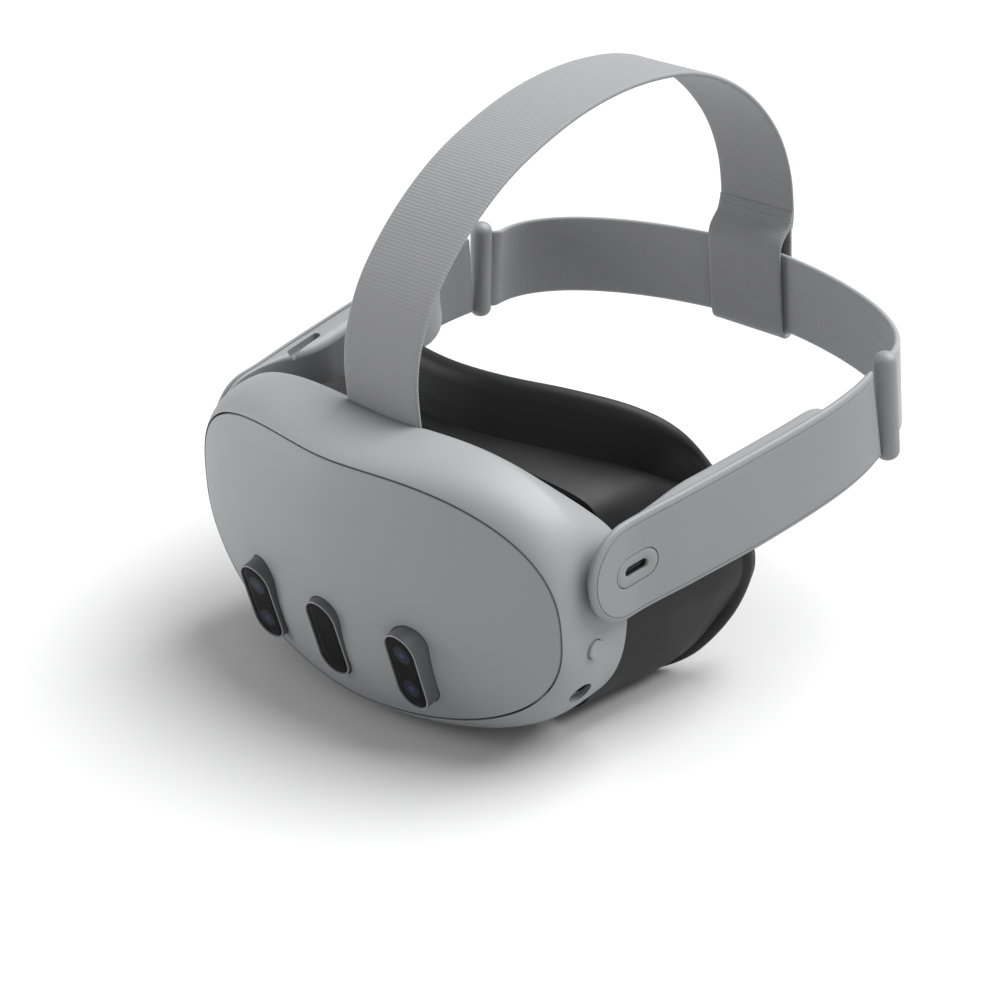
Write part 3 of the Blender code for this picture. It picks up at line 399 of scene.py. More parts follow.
@dataclass
class Palette:
    """The finishes, each built once."""

    grey: Moulded = Moulded("light_grey_shell", (0.236, 0.238, 0.246), 0.48)
    arm_grey: Moulded = Moulded("arm_grey", (0.200, 0.202, 0.208), 0.46)
    bezel_wall: Moulded = Moulded("bezel_wall_grey", (0.082, 0.083, 0.086), 0.5)
    black: Moulded = Moulded("charcoal_plastic", (0.021, 0.021, 0.022), 0.5)
    # Near black: the port's tongue really is this black, while the port's lining and the grille's discs use it as
    # painted shade inside holes.
    dark: Moulded = Moulded("socket_black_and_hole_shade", (0.008, 0.008, 0.009), 0.6)
    rubber: SoftRubber = SoftRubber("charcoal_rubber", (0.0105, 0.0105, 0.0112))
    glass: Glass = Glass("black_window_glass", (0.006, 0.006, 0.0065))
    lens: Glass = Glass("viewing_lens", (0.62, 0.68, 0.74), 0.85, 0.5)
    eye: CoatedLens = CoatedLens("coated_camera_lens")
    webbing: Woven = Woven("grid_webbing", (0.225, 0.227, 0.234), 0.0162)
    elastic: Woven = Woven("smooth_elastic", (0.255, 0.257, 0.263), 0.0152, 0.0009, 0.0011, 0.22, 0.30, 0.00005)
    thread: Woven = Woven("sewing_thread", (0.27, 0.27, 0.28), 0.0162)
    steel: Metal = Metal("turned_steel", (0.55, 0.55, 0.56))
    aluminium: Metal = Metal("milled_aluminium", (0.66, 0.67, 0.69), 0.38)
    brass: Metal = Metal("plated_brass", (0.72, 0.55, 0.27), 0.26)
    board: Board = Board("solder_mask")
    made: dict[str, bpy.types.Material] = field(default_factory=dict)

    def material(self, finish: object) -> bpy.types.Material:
        """The material of a finish.

        Args:
            finish: one of the palette's own.

        Returns:
            Its material, made on first use.
        """
        if finish.name not in self.made:
            self.made[finish.name] = finish.build()
        return self.made[finish.name]


PALETTE = Palette()

# ---------------------------------------------------------------- shapes


def smoothstep(low: float, high: float, value: float) -> float:
    """Ease from 0 at low to 1 at high."""
    t = min(max((value - low) / (high - low), 0.0), 1.0)
    return t * t * (3 - 2 * t)


def superellipse(half_width: float, top: float, bottom: float, power_top: float, power_bottom: float,
                 dip: float = 0.0, dip_width: float = 34.0, count: int = 224) -> Outline:
    """A rounded outline with different upper and lower halves and a dip in its top.

    Args:
        half_width: half its width.
        top: height above the middle.
        bottom: depth below the middle.
        power_top: squareness of the upper half.
        power_bottom: squareness of the lower half.
        dip: depth of the dip.
        dip_width: how wide the dip spreads.
        count: number of points.

    Returns:
        Points (x, z).
    """
    points = []
    for i in range(count):
        t = 2 * math.pi * (i + 0.5) / count
        c, s = math.cos(t), math.sin(t)
        power = power_top if s > 0 else power_bottom
        x = math.copysign(half_width * abs(c) ** (2 / power), c)
        z = math.copysign((top if s > 0 else bottom) * abs(s) ** (2 / power), s)
        points.append((x, z - dip * math.exp(-(x / dip_width) ** 2) if s > 0 else z))
    return points


def stadium(width: float, height: float, arc: int = 20) -> Outline:
    """An upright outline with half-round ends."""
    radius, rise, points = width / 2, height / 2 - width / 2, []
    for end, start in ((1, 0.0), (-1, math.pi)):
        for i in range(arc + 1):
            t = start + math.pi * i / arc
            points.append((radius * math.cos(t), end * rise + radius * math.sin(t)))
    return points


def circle(radius: float, count: int = 48) -> Outline:
    """Points of a circle."""
    return [(radius * math.cos(2 * math.pi * i / count), radius * math.sin(2 * math.pi * i / count))
            for i in range(count)]


def spline(points: Sequence[Vector], count: int, closed: bool = False) -> Ring:
    """Points on a Catmull-Rom curve.

    Args:
        points: what it passes through.
        count: how many to return.
        closed: whether it returns to its start.

    Returns:
        Points evenly placed by parameter.
    """
    last = len(points) if closed else len(points) - 1
    result = []
    for k in range(count):
        u = k * last / (count if closed else count - 1)
        i = min(int(u), last - 1)
        f = u - i
        p0, p1, p2, p3 = (points[n % len(points)] if closed else points[max(0, min(n, len(points) - 1))]
                          for n in range(i - 1, i + 3))
        result.append(0.5 * ((2 * p1) + (p2 - p0) * f + (2 * p0 - 5 * p1 + 4 * p2 - p3) * f * f
                             + (3 * p1 - p0 - 3 * p2 + p3) * f ** 3))
    return result


def close_mesh(name: str, bm: bmesh.types.BMesh, merge: float = 0.0) -> bpy.types.Mesh:
    """Turn a bmesh in millimetres into a smooth mesh in the frame.

    Args:
        name: the mesh's name.
        bm: the bmesh, which is freed.
        merge: distance under which points become one, in mm.

    Returns:
        The mesh.
    """
    if merge:
        bmesh.ops.remove_doubles(bm, verts=bm.verts, dist=merge)
        bmesh.ops.dissolve_degenerate(bm, edges=bm.edges, dist=merge / 4)
    bmesh.ops.recalc_face_normals(bm, faces=bm.faces)
    bmesh.ops.transform(bm, matrix=Matrix.Diagonal((MM, MM, MM, 1.0)) @ Matrix.Translation(ORIGIN), verts=bm.verts)
    mesh = bpy.data.meshes.new(name)
    bm.to_mesh(mesh)
    bm.free()
    mesh.shade_smooth()
    mesh.set_sharp_from_angle(angle=SHARP_ANGLE)
    return mesh


def loft(name: str, rings: Sequence[Ring], wrap: bool = False, merge: float = 0.0,
         chart: Optional[Callable[[int, int], tuple[float, float]]] = None) -> bpy.types.Mesh:
    """Join rings of equal counts into one closed surface.

    Args:
        name: the mesh's name.
        rings: the rings in order.
        wrap: whether the last ring joins the first; otherwise the ends are capped.
        merge: distance under which points become one, in mm.
        chart: gives the UV of a point from its ring and its place in the ring.

    Returns:
        The mesh.
    """
    bm = bmesh.new()
    loops = [[bm.verts.new(point) for point in ring] for ring in rings]
    count, total = len(loops[0]), len(loops)
    layer = bm.loops.layers.uv.new("UVMap") if chart else None
    for r in range(total if wrap else total - 1):
        n = (r + 1) % total
        for i in range(count):
            j = (i + 1) % count
            face = bm.faces.new((loops[r][i], loops[r][j], loops[n][j], loops[n][i]))
            if chart:
                for corner, at in zip(face.loops, ((r, i), (r, j), (r + 1, j), (r + 1, i))):
                    corner[layer].uv = chart(*at)
    if not wrap:
        for r in (0, total - 1):
            face = bm.faces.new(loops[r])
            if chart:
                for i, corner in enumerate(face.loops):
                    corner[layer].uv = chart(r, i)
    return close_mesh(name, bm, merge)


def rod(name: str, start: Vector, end: Vector, profile: Sequence[tuple[float, float]],
        count: int = 48) -> bpy.types.Mesh:
    """A turned solid between two points.

    Args:
        name: the mesh's name.
        start: the middle of its first end.
        end: the middle of its last end.
        profile: pairs of share of the length and radius.
        count: points round it.

    Returns:
        The mesh.
    """
    spin = (end - start).to_track_quat("Z", "Y")
    rings = [[start.lerp(end, share) + spin @ Vector((a, b, 0)) for a, b in circle(radius, count)]
             for share, radius in profile]
    return loft(name, rings)


def block(name: str, low: Sequence[float], high: Sequence[float], radius: float = 0.0,
          place: Optional[Matrix] = None, segments: int = 4) -> bpy.types.Mesh:
    """A box with rounded edges.

    Args:
        name: the mesh's name.
        low: its lowest corner.
        high: its highest corner.
        radius: its edges' radius.
        place: where it is put.
        segments: facets in a rounded edge.

    Returns:
        The mesh.
    """
    low, high = Vector(low), Vector(high)
    bm = bmesh.new()
    bmesh.ops.create_cube(bm, size=1.0, matrix=Matrix.Translation((low + high) / 2)
                          @ Matrix.Diagonal((*(high - low), 1.0)))
    if radius:
        bmesh.ops.bevel(bm, geom=bm.edges, offset=radius, segments=segments, profile=0.5, affect="EDGES")
    if place is not None:
        bmesh.ops.transform(bm, matrix=place, verts=bm.verts)
    return close_mesh(name, bm)


def loose(name: str, mesh: bpy.types.Mesh) -> bpy.types.Object:
    """An object for a mesh, linked to the scene."""
    obj = bpy.data.objects.new(name, mesh)
    bpy.context.scene.collection.objects.link(obj)
    return obj


def baked(obj: bpy.types.Object) -> None:
    """Turn an object's modifiers into its mesh."""
    depsgraph = bpy.context.evaluated_depsgraph_get()
    mesh = bpy.data.meshes.new_from_object(obj.evaluated_get(depsgraph), depsgraph=depsgraph)
    obj.modifiers.clear()
    obj.data = mesh


def carve(name: str, mesh: bpy.types.Mesh, cutters: Iterable[bpy.types.Mesh]) -> bpy.types.Mesh:
    """Cut holes in a closed mesh.

    Args:
        name: the new mesh's name.
        mesh: what is cut.
        cutters: closed meshes to take away.

    Returns:
        The cut mesh.
    """
    body = loose("carved", mesh)
    helpers = []
    for cutter in cutters:
        helper = loose("cutter", cutter)
        helpers.append(helper)
        modifier = body.modifiers.new("cut", "BOOLEAN")
        modifier.operation, modifier.solver, modifier.object = "DIFFERENCE", "EXACT", helper
    baked(body)
    result = body.data
    result.name = name
    for obj in [body, *helpers]:
        bpy.data.objects.remove(obj)
    result.shade_smooth()
    result.set_sharp_from_angle(angle=SHARP_ANGLE)
    return result


def piece(name: str, mesh: bpy.types.Mesh, finish: object, body: Optional[str],
          stands_for: Sequence[str] = ()) -> bpy.types.Object:
    """Put a finished mesh in the scene.

    Args:
        name: the piece's name.
        mesh: its mesh.
        finish: its finish.
        body: the body it rides on, or None where it rides on none.
        stands_for: CAD nodes that it replaces.

    Returns:
        The new object.
    """
    obj = loose(name, mesh)
    if not mesh.materials:
        mesh.materials.append(PALETTE.material(finish))
    if body is not None:
        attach(obj, body)
    if stands_for:
        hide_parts(*stands_for)
    LOG.info("%s: %d faces on %s", name, len(mesh.polygons), body or "a blend")
    return obj


# ---------------------------------------------------------------- repeated details


class Stamp(Enum):
    """Shapes that repeat."""

    BAR = "bar"
    DISC = "disc"


@dataclass
class Repeat:
    """A Geometry Nodes tree that sets one small shape at each point of a mesh.

    The points carry two directions: along, the shape's long axis, and out, its height.
    """

    name: str
    stamp: Stamp
    length: float
    width: float
    height: float

    def tree(self) -> bpy.types.NodeTree:
        """Build the node tree.

        Returns:
            The tree, with inputs for the shape's size and material.
        """
        tree = bpy.data.node_groups.new(f"{self.name}_tree", "GeometryNodeTree")
        face = tree.interface
        face.new_socket("Geometry", in_out="INPUT", socket_type="NodeSocketGeometry")
        for label in ("Length", "Width", "Height"):
            face.new_socket(label, in_out="INPUT", socket_type="NodeSocketFloat")
        face.new_socket("Material", in_out="INPUT", socket_type="NodeSocketMaterial")
        face.new_socket("Geometry", in_out="OUTPUT", socket_type="NodeSocketGeometry")

        def add(kind: str, **options: object) -> bpy.types.Node:
            """A new node with its options set."""
            node = tree.nodes.new(kind)
            for key, value in options.items():
                setattr(node, key, value)
            return node

        source, result = add("NodeGroupInput"), add("NodeGroupOutput")
        size = add("ShaderNodeCombineXYZ")
        if self.stamp is Stamp.BAR:
            shape = add("GeometryNodeMeshCube")
            shape.inputs["Vertices X"].default_value = 3
            smooth = add("GeometryNodeSubdivisionSurface")
            smooth.inputs["Level"].default_value = 1
            tree.links.new(shape.outputs["Mesh"], smooth.inputs["Mesh"])
            shape_out = smooth.outputs["Mesh"]
        else:
            shape = add("GeometryNodeMeshCylinder")
            shape.inputs["Vertices"].default_value = 12
            shape.inputs["Radius"].default_value = 0.5
            shape.inputs["Depth"].default_value = 1.0
            shape_out = shape.outputs["Mesh"]
        points = add("GeometryNodeMeshToPoints")
        axes = []
        for label in ("along", "out"):
            axes.append(add("GeometryNodeInputNamedAttribute", data_type="FLOAT_VECTOR"))
            axes[-1].inputs["Name"].default_value = label
        turn = add("FunctionNodeAxesToRotation", primary_axis="Z", secondary_axis="X")
        stamps = add("GeometryNodeInstanceOnPoints")
        real, dress = add("GeometryNodeRealizeInstances"), add("GeometryNodeSetMaterial")
        for label, index in (("Length", 0), ("Width", 1), ("Height", 2)):
            tree.links.new(source.outputs[label], size.inputs[index])
        for start, end in (
                (source.outputs["Geometry"], points.inputs["Mesh"]),
                (points.outputs["Points"], stamps.inputs["Points"]),
                (shape_out, stamps.inputs["Instance"]),
                (axes[1].outputs["Attribute"], turn.inputs["Primary Axis"]),
                (axes[0].outputs["Attribute"], turn.inputs["Secondary Axis"]),
                (turn.outputs["Rotation"], stamps.inputs["Rotation"]),
                (size.outputs[0], stamps.inputs["Scale"]),
                (stamps.outputs["Instances"], real.inputs["Geometry"]),
                (real.outputs["Geometry"], dress.inputs["Geometry"]),
                (source.outputs["Material"], dress.inputs["Material"]),
                (dress.outputs["Geometry"], result.inputs["Geometry"])):
            tree.links.new(start, end)
        return tree

    def make(self, places: Sequence[tuple[Vector, Vector, Vector]], finish: object,
             body: str) -> bpy.types.Object:
        """Set the shapes and make them one plain mesh.

        Args:
            places: for each shape its middle in mm, its long axis and its height's direction.
            finish: their finish.
            body: the body they ride on.

        Returns:
            The new object.
        """
        mesh = bpy.data.meshes.new(self.name)
        mesh.from_pydata([(place + ORIGIN) * MM for place, _, _ in places], [], [])
        for label, index in (("along", 1), ("out", 2)):
            layer = mesh.attributes.new(label, "FLOAT_VECTOR", "POINT")
            layer.data.foreach_set("vector", [c for row in places for c in row[index]])
        obj = loose(self.name, mesh)
        tree = self.tree()
        modifier = obj.modifiers.new("repeat", "NODES")
        modifier.node_group = tree
        values = {"Length": self.length * MM, "Width": self.width * MM, "Height": self.height * MM,
                  "Material": PALETTE.material(finish)}
        for item in tree.interface.items_tree:
            if item.in_out == "INPUT" and item.name in values:
                modifier[item.identifier] = values[item.name]
        baked(obj)
        for label in ("along", "out"):
            if label in obj.data.attributes:
                obj.data.attributes.remove(obj.data.attributes[label])
        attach(obj, body)
        LOG.info("%s: %d shapes on %s", self.name, len(places), body)
        return obj


# ---------------------------------------------------------------- visor


@dataclass
class VisorSkin:
    """The outer form that the front cover, the housing and the interface share."""

    half_width: float = 81.5
    top: float = 44.7
    bottom: float = 45.2
    power_top: float = 2.63
    power_bottom: float = 2.14
    dip: float = 2.3
    sag: float = 17.3
    sag_power: float = 1.64
    lean: float = 0.065
    sweep: float = 5.0
    bulge: float = 5.5
    body_half_width: float = 82.4
    body_top: float = 52.0
    body_bottom: float = 50.5
    body_dip: float = 3.6
    body_y: float = 4.5
    side_y: float = 8.0
    chin_y: float = 9.0
    fall_power: float = 1.35
    shoulder: float = math.radians(20)
    rear_half_width: float = 80.5
    rear_top: float = 41.5
    rear_bottom: float = 50.0
    rear_depth: float = 31.0
    brow_setback: float = 11.0

    def front_y(self, x: float, z: float) -> float:
        """Depth of the seam's surface at a point of the front."""
        sag = self.sag * (1 - min(abs(x) / self.half_width, 1.3) ** self.sag_power)
        return -sag - self.lean * z + self.sweep * (min(z, 0.0) / self.bottom) ** 2

    def rear_y(self, z: float) -> float:
        """Depth of the housing's rear edge at a height."""
        return self.rear_depth - self.brow_setback * smoothstep(22, 42, z)

    def seam(self, grow: float = 0.0) -> Outline:
        """The front seam's outline."""
        return superellipse(self.half_width + grow, self.top + grow, self.bottom + grow,
                            self.power_top, self.power_bottom, self.dip)

    def seam_ring(self, grow: float, back: float) -> Ring:
        """A ring along the seam, grown outwards and set back."""
        return [Vector((x, self.front_y(x, z) + back, z)) for x, z in self.seam(grow)]

    def cover_ring(self, share: float, grow: float, back: float) -> Ring:
        """A ring of the front cover at a share of its outline's size."""
        rise = back - self.bulge * (1 - share ** 3)
        return [Vector((x * share, self.front_y(x * share, z * share) + rise, z * share))
                for x, z in self.seam(grow)]

    def housing_ring(self, stage: float, inset: float, back: float = 0.0) -> Ring:
        """A ring of the housing's skin.

        Args:
            stage: 0 to 1 over the front shoulder, 1 to 2 back to the rear edge.
            inset: how far it lies inside the outer skin.
            back: a further shift back.

        Returns:
            The ring.
        """
        widest = superellipse(self.body_half_width - inset, self.body_top - inset, self.body_bottom - inset,
                              3.0, 2.6, self.body_dip)
        rear = superellipse(self.rear_half_width - inset, self.rear_top - inset, self.rear_bottom - inset,
                            3.0, 2.6, self.body_dip)
        ring = []
        for (sx, sz), (wx, wz), (rx, rz) in zip(self.seam(-inset), widest, rear):
            side = self.side_y * (wx / self.body_half_width) ** 2
            chin = (self.chin_y - side * 0.6) * smoothstep(0, 40, -wz)
            start = Vector((sx, self.front_y(sx, sz) + inset * 0.5, sz))
            middle = Vector((wx, self.body_y + side + chin, wz))
            end = Vector((rx, self.rear_y(rz), rz))
            if stage <= 1:
                t = self.shoulder + (math.pi / 2 - self.shoulder) * stage
                out = (math.sin(t) - math.sin(self.shoulder)) / (1 - math.sin(self.shoulder))
                deep = 1 - math.cos(t) / math.cos(self.shoulder)
                point = Vector((start.x + (middle.x - start.x) * out, start.y + (middle.y - start.y) * deep,
                                start.z + (middle.z - start.z) * out))
            else:
                deep = stage - 1
                fall = deep ** self.fall_power
                point = Vector((middle.x + (end.x - middle.x) * fall, middle.y + (end.y - middle.y) * deep,
                                middle.z + (end.z - middle.z) * fall))
            ring.append(point + Vector((0, back, 0)))
        return ring


SKIN = VisorSkin()


@dataclass
class CameraWindows:
    """Three upright windows standing out of the front cover, each with rim and glass, the outer two with lenses."""

    width: float = 13.6
    height: float = 30.2
    wall: float = 0.7
    depth: float = 9.0
    z: float = -20.6
    lean: float = math.radians(17.0)
    eye_z: float = 7.0
    eye_radius: float = 3.5

    def place(self, window: Window) -> Matrix:
        """Where a window's own face is put: X across, Y in, Z up."""
        x, y = window.value
        return Matrix.Translation((x, y, self.z)) @ Matrix.Rotation(self.lean, 4, "X")

    def ring(self, window: Window, inset: float, depth: float) -> Ring:
        """A ring round a window, inset from its outline, at a depth behind its face."""
        place = self.place(window)
        return [place @ Vector((a, depth, b)) for a, b in stadium(self.width - 2 * inset, self.height - 2 * inset)]

    def hole(self, window: Window) -> bpy.types.Mesh:
        """The cutter for a window's hole in the cover."""
        return loft("hole", [self.ring(window, -GAP, depth) for depth in (-10.0, 22.0)])

    def rim(self, window: Window) -> bpy.types.Mesh:
        """The wall and the narrow light edge round the glass."""
        edge = ((0.0, 0.26), (0.04, 0.12), (0.12, 0.03), (0.24, 0.0), (0.42, 0.0), (0.56, 0.05), (0.66, 0.16))
        profile = [(0.0, self.depth), (0.0, 1.0), *edge, (self.wall, 0.5), (self.wall, self.depth)]
        mesh = loft("rim", [self.ring(window, inset, depth) for inset, depth in profile], wrap=True)
        mesh.materials.append(PALETTE.material(PALETTE.bezel_wall))
        mesh.materials.append(PALETTE.material(PALETTE.grey))
        count = 2 * (20 + 1)
        for face in mesh.polygons:
            face.material_index = 1 if 3 <= face.index // count <= 5 else 0
        return mesh

    def pane(self, window: Window) -> bpy.types.Mesh:
        """The glass, with a softened edge."""
        start = self.wall + 0.12
        profile = ((start + 3.0, 0.42), (start + 0.35, 0.42), (start + 0.1, 0.5), (start, 0.7), (start, 1.7))
        return loft("pane", [self.ring(window, inset, depth) for inset, depth in profile])

    def eyes(self, window: Window) -> bpy.types.Mesh:
        """Two shallow coated lenses, just proud of the glass."""
        bm = bmesh.new()
        layer = bm.loops.layers.uv.new("UVMap")
        place = self.place(window)
        profile = ((0.0, 0.36), (0.3, 0.362), (0.6, 0.37), (0.85, 0.385), (1.0, 0.41), (1.0, 0.6))
        for z in (self.eye_z, -self.eye_z):
            loops = []
            for share, depth in profile[1:]:
                loops.append([bm.verts.new(place @ Vector((a, depth, b + z)))
                              for a, b in circle(self.eye_radius * share, 40)])
            for (inner, share), (outer, next_share) in zip(
                    zip(loops, [s for s, _ in profile[1:]]), zip(loops[1:], [s for s, _ in profile[2:]])):
                for i in range(40):
                    j = (i + 1) % 40
                    face = bm.faces.new((inner[i], inner[j], outer[j], outer[i]))
                    for corner, value in zip(face.loops, (share, share, next_share, next_share)):
                        corner[layer].uv = (value, 0.0)
            for ring, value in ((loops[0], 0.15), (loops[-1], 1.0)):
                for corner in bm.faces.new(ring).loops:
                    corner[layer].uv = (value, 0.0)
        return close_mesh("eyes", bm)

    def build(self) -> None:
        """Make the three windows."""
        for window in Window:
            label = window.name.lower()
            piece(f"{label}_window_rim", self.rim(window), PALETTE.bezel_wall, "visor",
                  [f"{label}_camera_bezel"])
            piece(f"{label}_window_pane", self.pane(window), PALETTE.glass, "visor",
                  [f"{label}_camera_window"])
            if window is not Window.MIDDLE:
                piece(f"{label}_window_lenses", self.eyes(window), PALETTE.eye, "visor")


@dataclass
class FrontCover:
    """The bulging front face inside the seam."""

    edge: float = 0.35
    gap: float = 0.58
    windows: CameraWindows = field(default_factory=CameraWindows)

    def mesh(self) -> bpy.types.Mesh:
        """The cover's shell with its three holes."""
        outer = [SKIN.cover_ring(0.02 + 0.98 * (k / 34), -self.gap - self.edge, 0.0) for k in range(35)]
        rim = []
        for k in range(1, 5):
            t = math.pi / 2 * k / 4
            rim.append(SKIN.seam_ring(-self.gap - self.edge * (1 - math.sin(t)), self.edge * (1 - math.cos(t))))
        rim.append(SKIN.seam_ring(-self.gap, SHELL))
        inner = [SKIN.cover_ring(0.02 + 0.98 * (1 - k / 14), -self.gap - 0.5, SHELL) for k in range(15)]
        return carve("front_shell", loft("cover", outer + rim + inner),
                     [self.windows.hole(window) for window in Window])

    def build(self) -> None:
        """Make the cover and its windows."""
        piece("front_shell", self.mesh(), PALETTE.grey, "visor", ["front_cover"])
        self.windows.build()


@dataclass
class Housing:
    """The wrap-round shell behind the seam, with its openings."""

    lip: float = 0.8
    slot_half: float = 16.5
    pivot: Vector = field(default_factory=lambda: Vector((86.6, 24.0, 17.5)))
    pivot_radius: float = 5.3
    power: Vector = field(default_factory=lambda: Vector((82.4, 14.0, -6.5)))
    power_radius: float = 3.1
    audio_radius: float = 3.6
    camera: Vector = field(default_factory=lambda: Vector((76.5, 13.0, -22.0)))
    camera_radius: float = 3.8
    wheel: Vector = field(default_factory=lambda: Vector((28.2743, 18.1, -36.0)))
    wheel_radius: float = 13.9
    wheel_thick: float = 3.0
    rocker: Vector = field(default_factory=lambda: Vector((-34.0, 11.5, -48.6)))
    rocker_size: Vector = field(default_factory=lambda: Vector((22.0, 4.8, 3.5)))
    rocker_tip: float = math.radians(9.3)
    contact: Vector = field(default_factory=lambda: Vector((30.0, 11.5, -48.8)))
    contact_size: Vector = field(default_factory=lambda: Vector((14.0, 4.4, 4.0)))
    contact_tip: float = math.radians(-7.0)

    def camera_point(self, side: Side, along: float) -> Vector:
        """A point on a side camera's axis."""
        direction = Vector((side.value * 0.80, -0.35, -0.48)).normalized()
        return Vector((side.value * self.camera.x, self.camera.y, self.camera.z)) + direction * along

    def tipped(self, name: str, face: Vector, size: Vector, tip: float, grow: float = 0.0,
               extend: float = 0.0, radius: float = 0.0) -> bpy.types.Mesh:
        """A block on the underside.

        Args:
            name: the mesh's name.
            face: the middle of its lower face.
            size: its size.
            tip: its turn about Y.
            grow: growth sideways.
            extend: growth up and down.
            radius: its edges' radius.

        Returns:
            The mesh.
        """
        low = (-size.x / 2 - grow, -size.y / 2 - grow, -extend)
        high = (size.x / 2 + grow, size.y / 2 + grow, size.z + extend)
        return block(name, low, high, radius, Matrix.Translation(face) @ Matrix.Rotation(tip, 4, "Y"))

    def skin(self) -> bpy.types.Mesh:
        """The shell before its openings are cut."""
        rings = [SKIN.seam_ring(0.0, 2.4), SKIN.seam_ring(0.0, 0.4), SKIN.seam_ring(0.06, 0.12)]
        rings += [SKIN.housing_ring(stage, 0.0) for stage in
                  (0.02, 0.06, 0.12, 0.19, 0.26, 0.34, 0.42, 0.5, 0.58, 0.66, 0.74, 0.82, 0.9, 0.96, 1.0,
                   1.06, 1.13, 1.2, 1.28, 1.36, 1.44, 1.52, 1.6, 1.68, 1.76, 1.84, 1.92)]
        for k in range(6):
            t = math.pi / 2 * k / 5
            rings.append(SKIN.housing_ring(2.0, self.lip * (1 - math.cos(t)), self.lip * (math.sin(t) - 1)))
        rings.append(SKIN.housing_ring(2.0, SHELL, 0.0))
        rings += [SKIN.housing_ring(stage, SHELL) for stage in (1.8, 1.6, 1.4, 1.2, 1.0, 0.8, 0.6, 0.4, 0.24)]
        return loft("skin", rings, wrap=True)

    def openings(self) -> list[bpy.types.Mesh]:
        """Cutters for the slot, the pivots, the sockets and the buttons."""
        straight = ((0.0, 1.0), (1.0, 1.0))
        cutters = [block("slot", (-self.slot_half, 5.4, 38.0), (self.slot_half, 9.4, 60.0), 0.8)]
        for side in Side:
            sign = side.value
            pin = Vector((0.0, self.pivot.y, self.pivot.z))
            cutters.append(rod("pivot", pin + Vector((sign * 60, 0, 0)), pin + Vector((sign * 100, 0, 0)),
                               [(s, self.pivot_radius) for s, _ in straight]))
            cutters.append(rod("camera", self.camera_point(side, -12.0), self.camera_point(side, 12.0),
                               [(s, self.camera_radius + GAP) for s, _ in straight]))
            radius = (self.power_radius if side is Side.LEFT else self.audio_radius) + GAP
            middle = Vector((0.0, self.power.y, self.power.z))
            cutters.append(rod("button", middle + Vector((sign * 60, 0, 0)), middle + Vector((sign * 100, 0, 0)),
                               [(s, radius) for s, _ in straight]))
        low = (self.wheel.x - self.wheel_radius, self.wheel.y - 0.6, -60.0)
        high = (self.wheel.x + self.wheel_radius, self.wheel.y + self.wheel_thick + 0.6, -34.0)
        cutters.append(block("wheel", low, high, 0.8))
        cutters.append(self.tipped("rocker", self.rocker, self.rocker_size, self.rocker_tip, GAP, 10.0, 1.2))
        cutters.append(self.tipped("contact", self.contact, self.contact_size, self.contact_tip, GAP, 10.0, 1.0))
        return cutters

    def controls(self) -> None:
        """The buttons, the socket and the side cameras."""
        x = self.power.x
        start, end = (Vector((value, self.power.y, self.power.z)) for value in (x - 5.0, x + 0.9))
        crown = ((0.0, 3.1), (0.9, 3.1), (0.955, 3.02), (0.985, 2.8), (1.0, 2.45), (0.985, 1.9), (0.97, 1.2),
                 (0.965, 0.4))
        piece("power_key", rod("power_key", start, end, crown), PALETTE.grey, "power_button",
              ["power_button"])
        piece("volume_key", self.tipped("volume_key", self.rocker, self.rocker_size, self.rocker_tip, radius=1.1),
              PALETTE.grey, "volume_rocker", ["volume_rocker"])
        rings = []
        for radius, place in ((3.6, -76.4), (3.6, -81.5), (3.4, -81.8), (2.0, -81.8), (1.75, -81.5), (1.75, -76.4)):
            rings.append([Vector((place, self.power.y + a, self.power.z + b)) for a, b in circle(radius)])
        piece("sound_socket", loft("sound_socket", rings, wrap=True), PALETTE.black, "visor",
              ["audio_socket"])
        dome = ((0.0, 3.8), (0.8, 3.8), (0.9, 3.7), (0.95, 3.4), (0.98, 2.8), (1.0, 1.6), (1.0, 0.3))
        for side in Side:
            piece(f"{side.label}_side_lens", rod("side_lens", self.camera_point(side, -7.0),
                                                 self.camera_point(side, -0.5), dome),
                  PALETTE.glass, "visor", [f"{side.label}_side_camera"])

    def grip(self) -> None:
        """Fine ribs round the eye-spacing wheel's rim."""
        middle = self.wheel + Vector((0, self.wheel_thick / 2, 0))
        places = []
        for k in range(72):
            out = Vector((math.cos(2 * math.pi * k / 72), 0, math.sin(2 * math.pi * k / 72)))
            places.append((middle + out * (self.wheel_radius - 0.12), Vector((0, 1, 0)), out))
        Repeat("wheel_grip", Stamp.BAR, self.wheel_thick - 0.2, 0.7, 0.5).make(
            places, PALETTE.black, "ipd_wheel")

    def build(self) -> None:
        """Make the shell and what sits in it."""
        piece("housing_shell", carve("housing_shell", self.skin(), self.openings()), PALETTE.grey,
              "visor", ["main_housing"])
        self.controls()
        self.grip()


# ---------------------------------------------------------------- optics


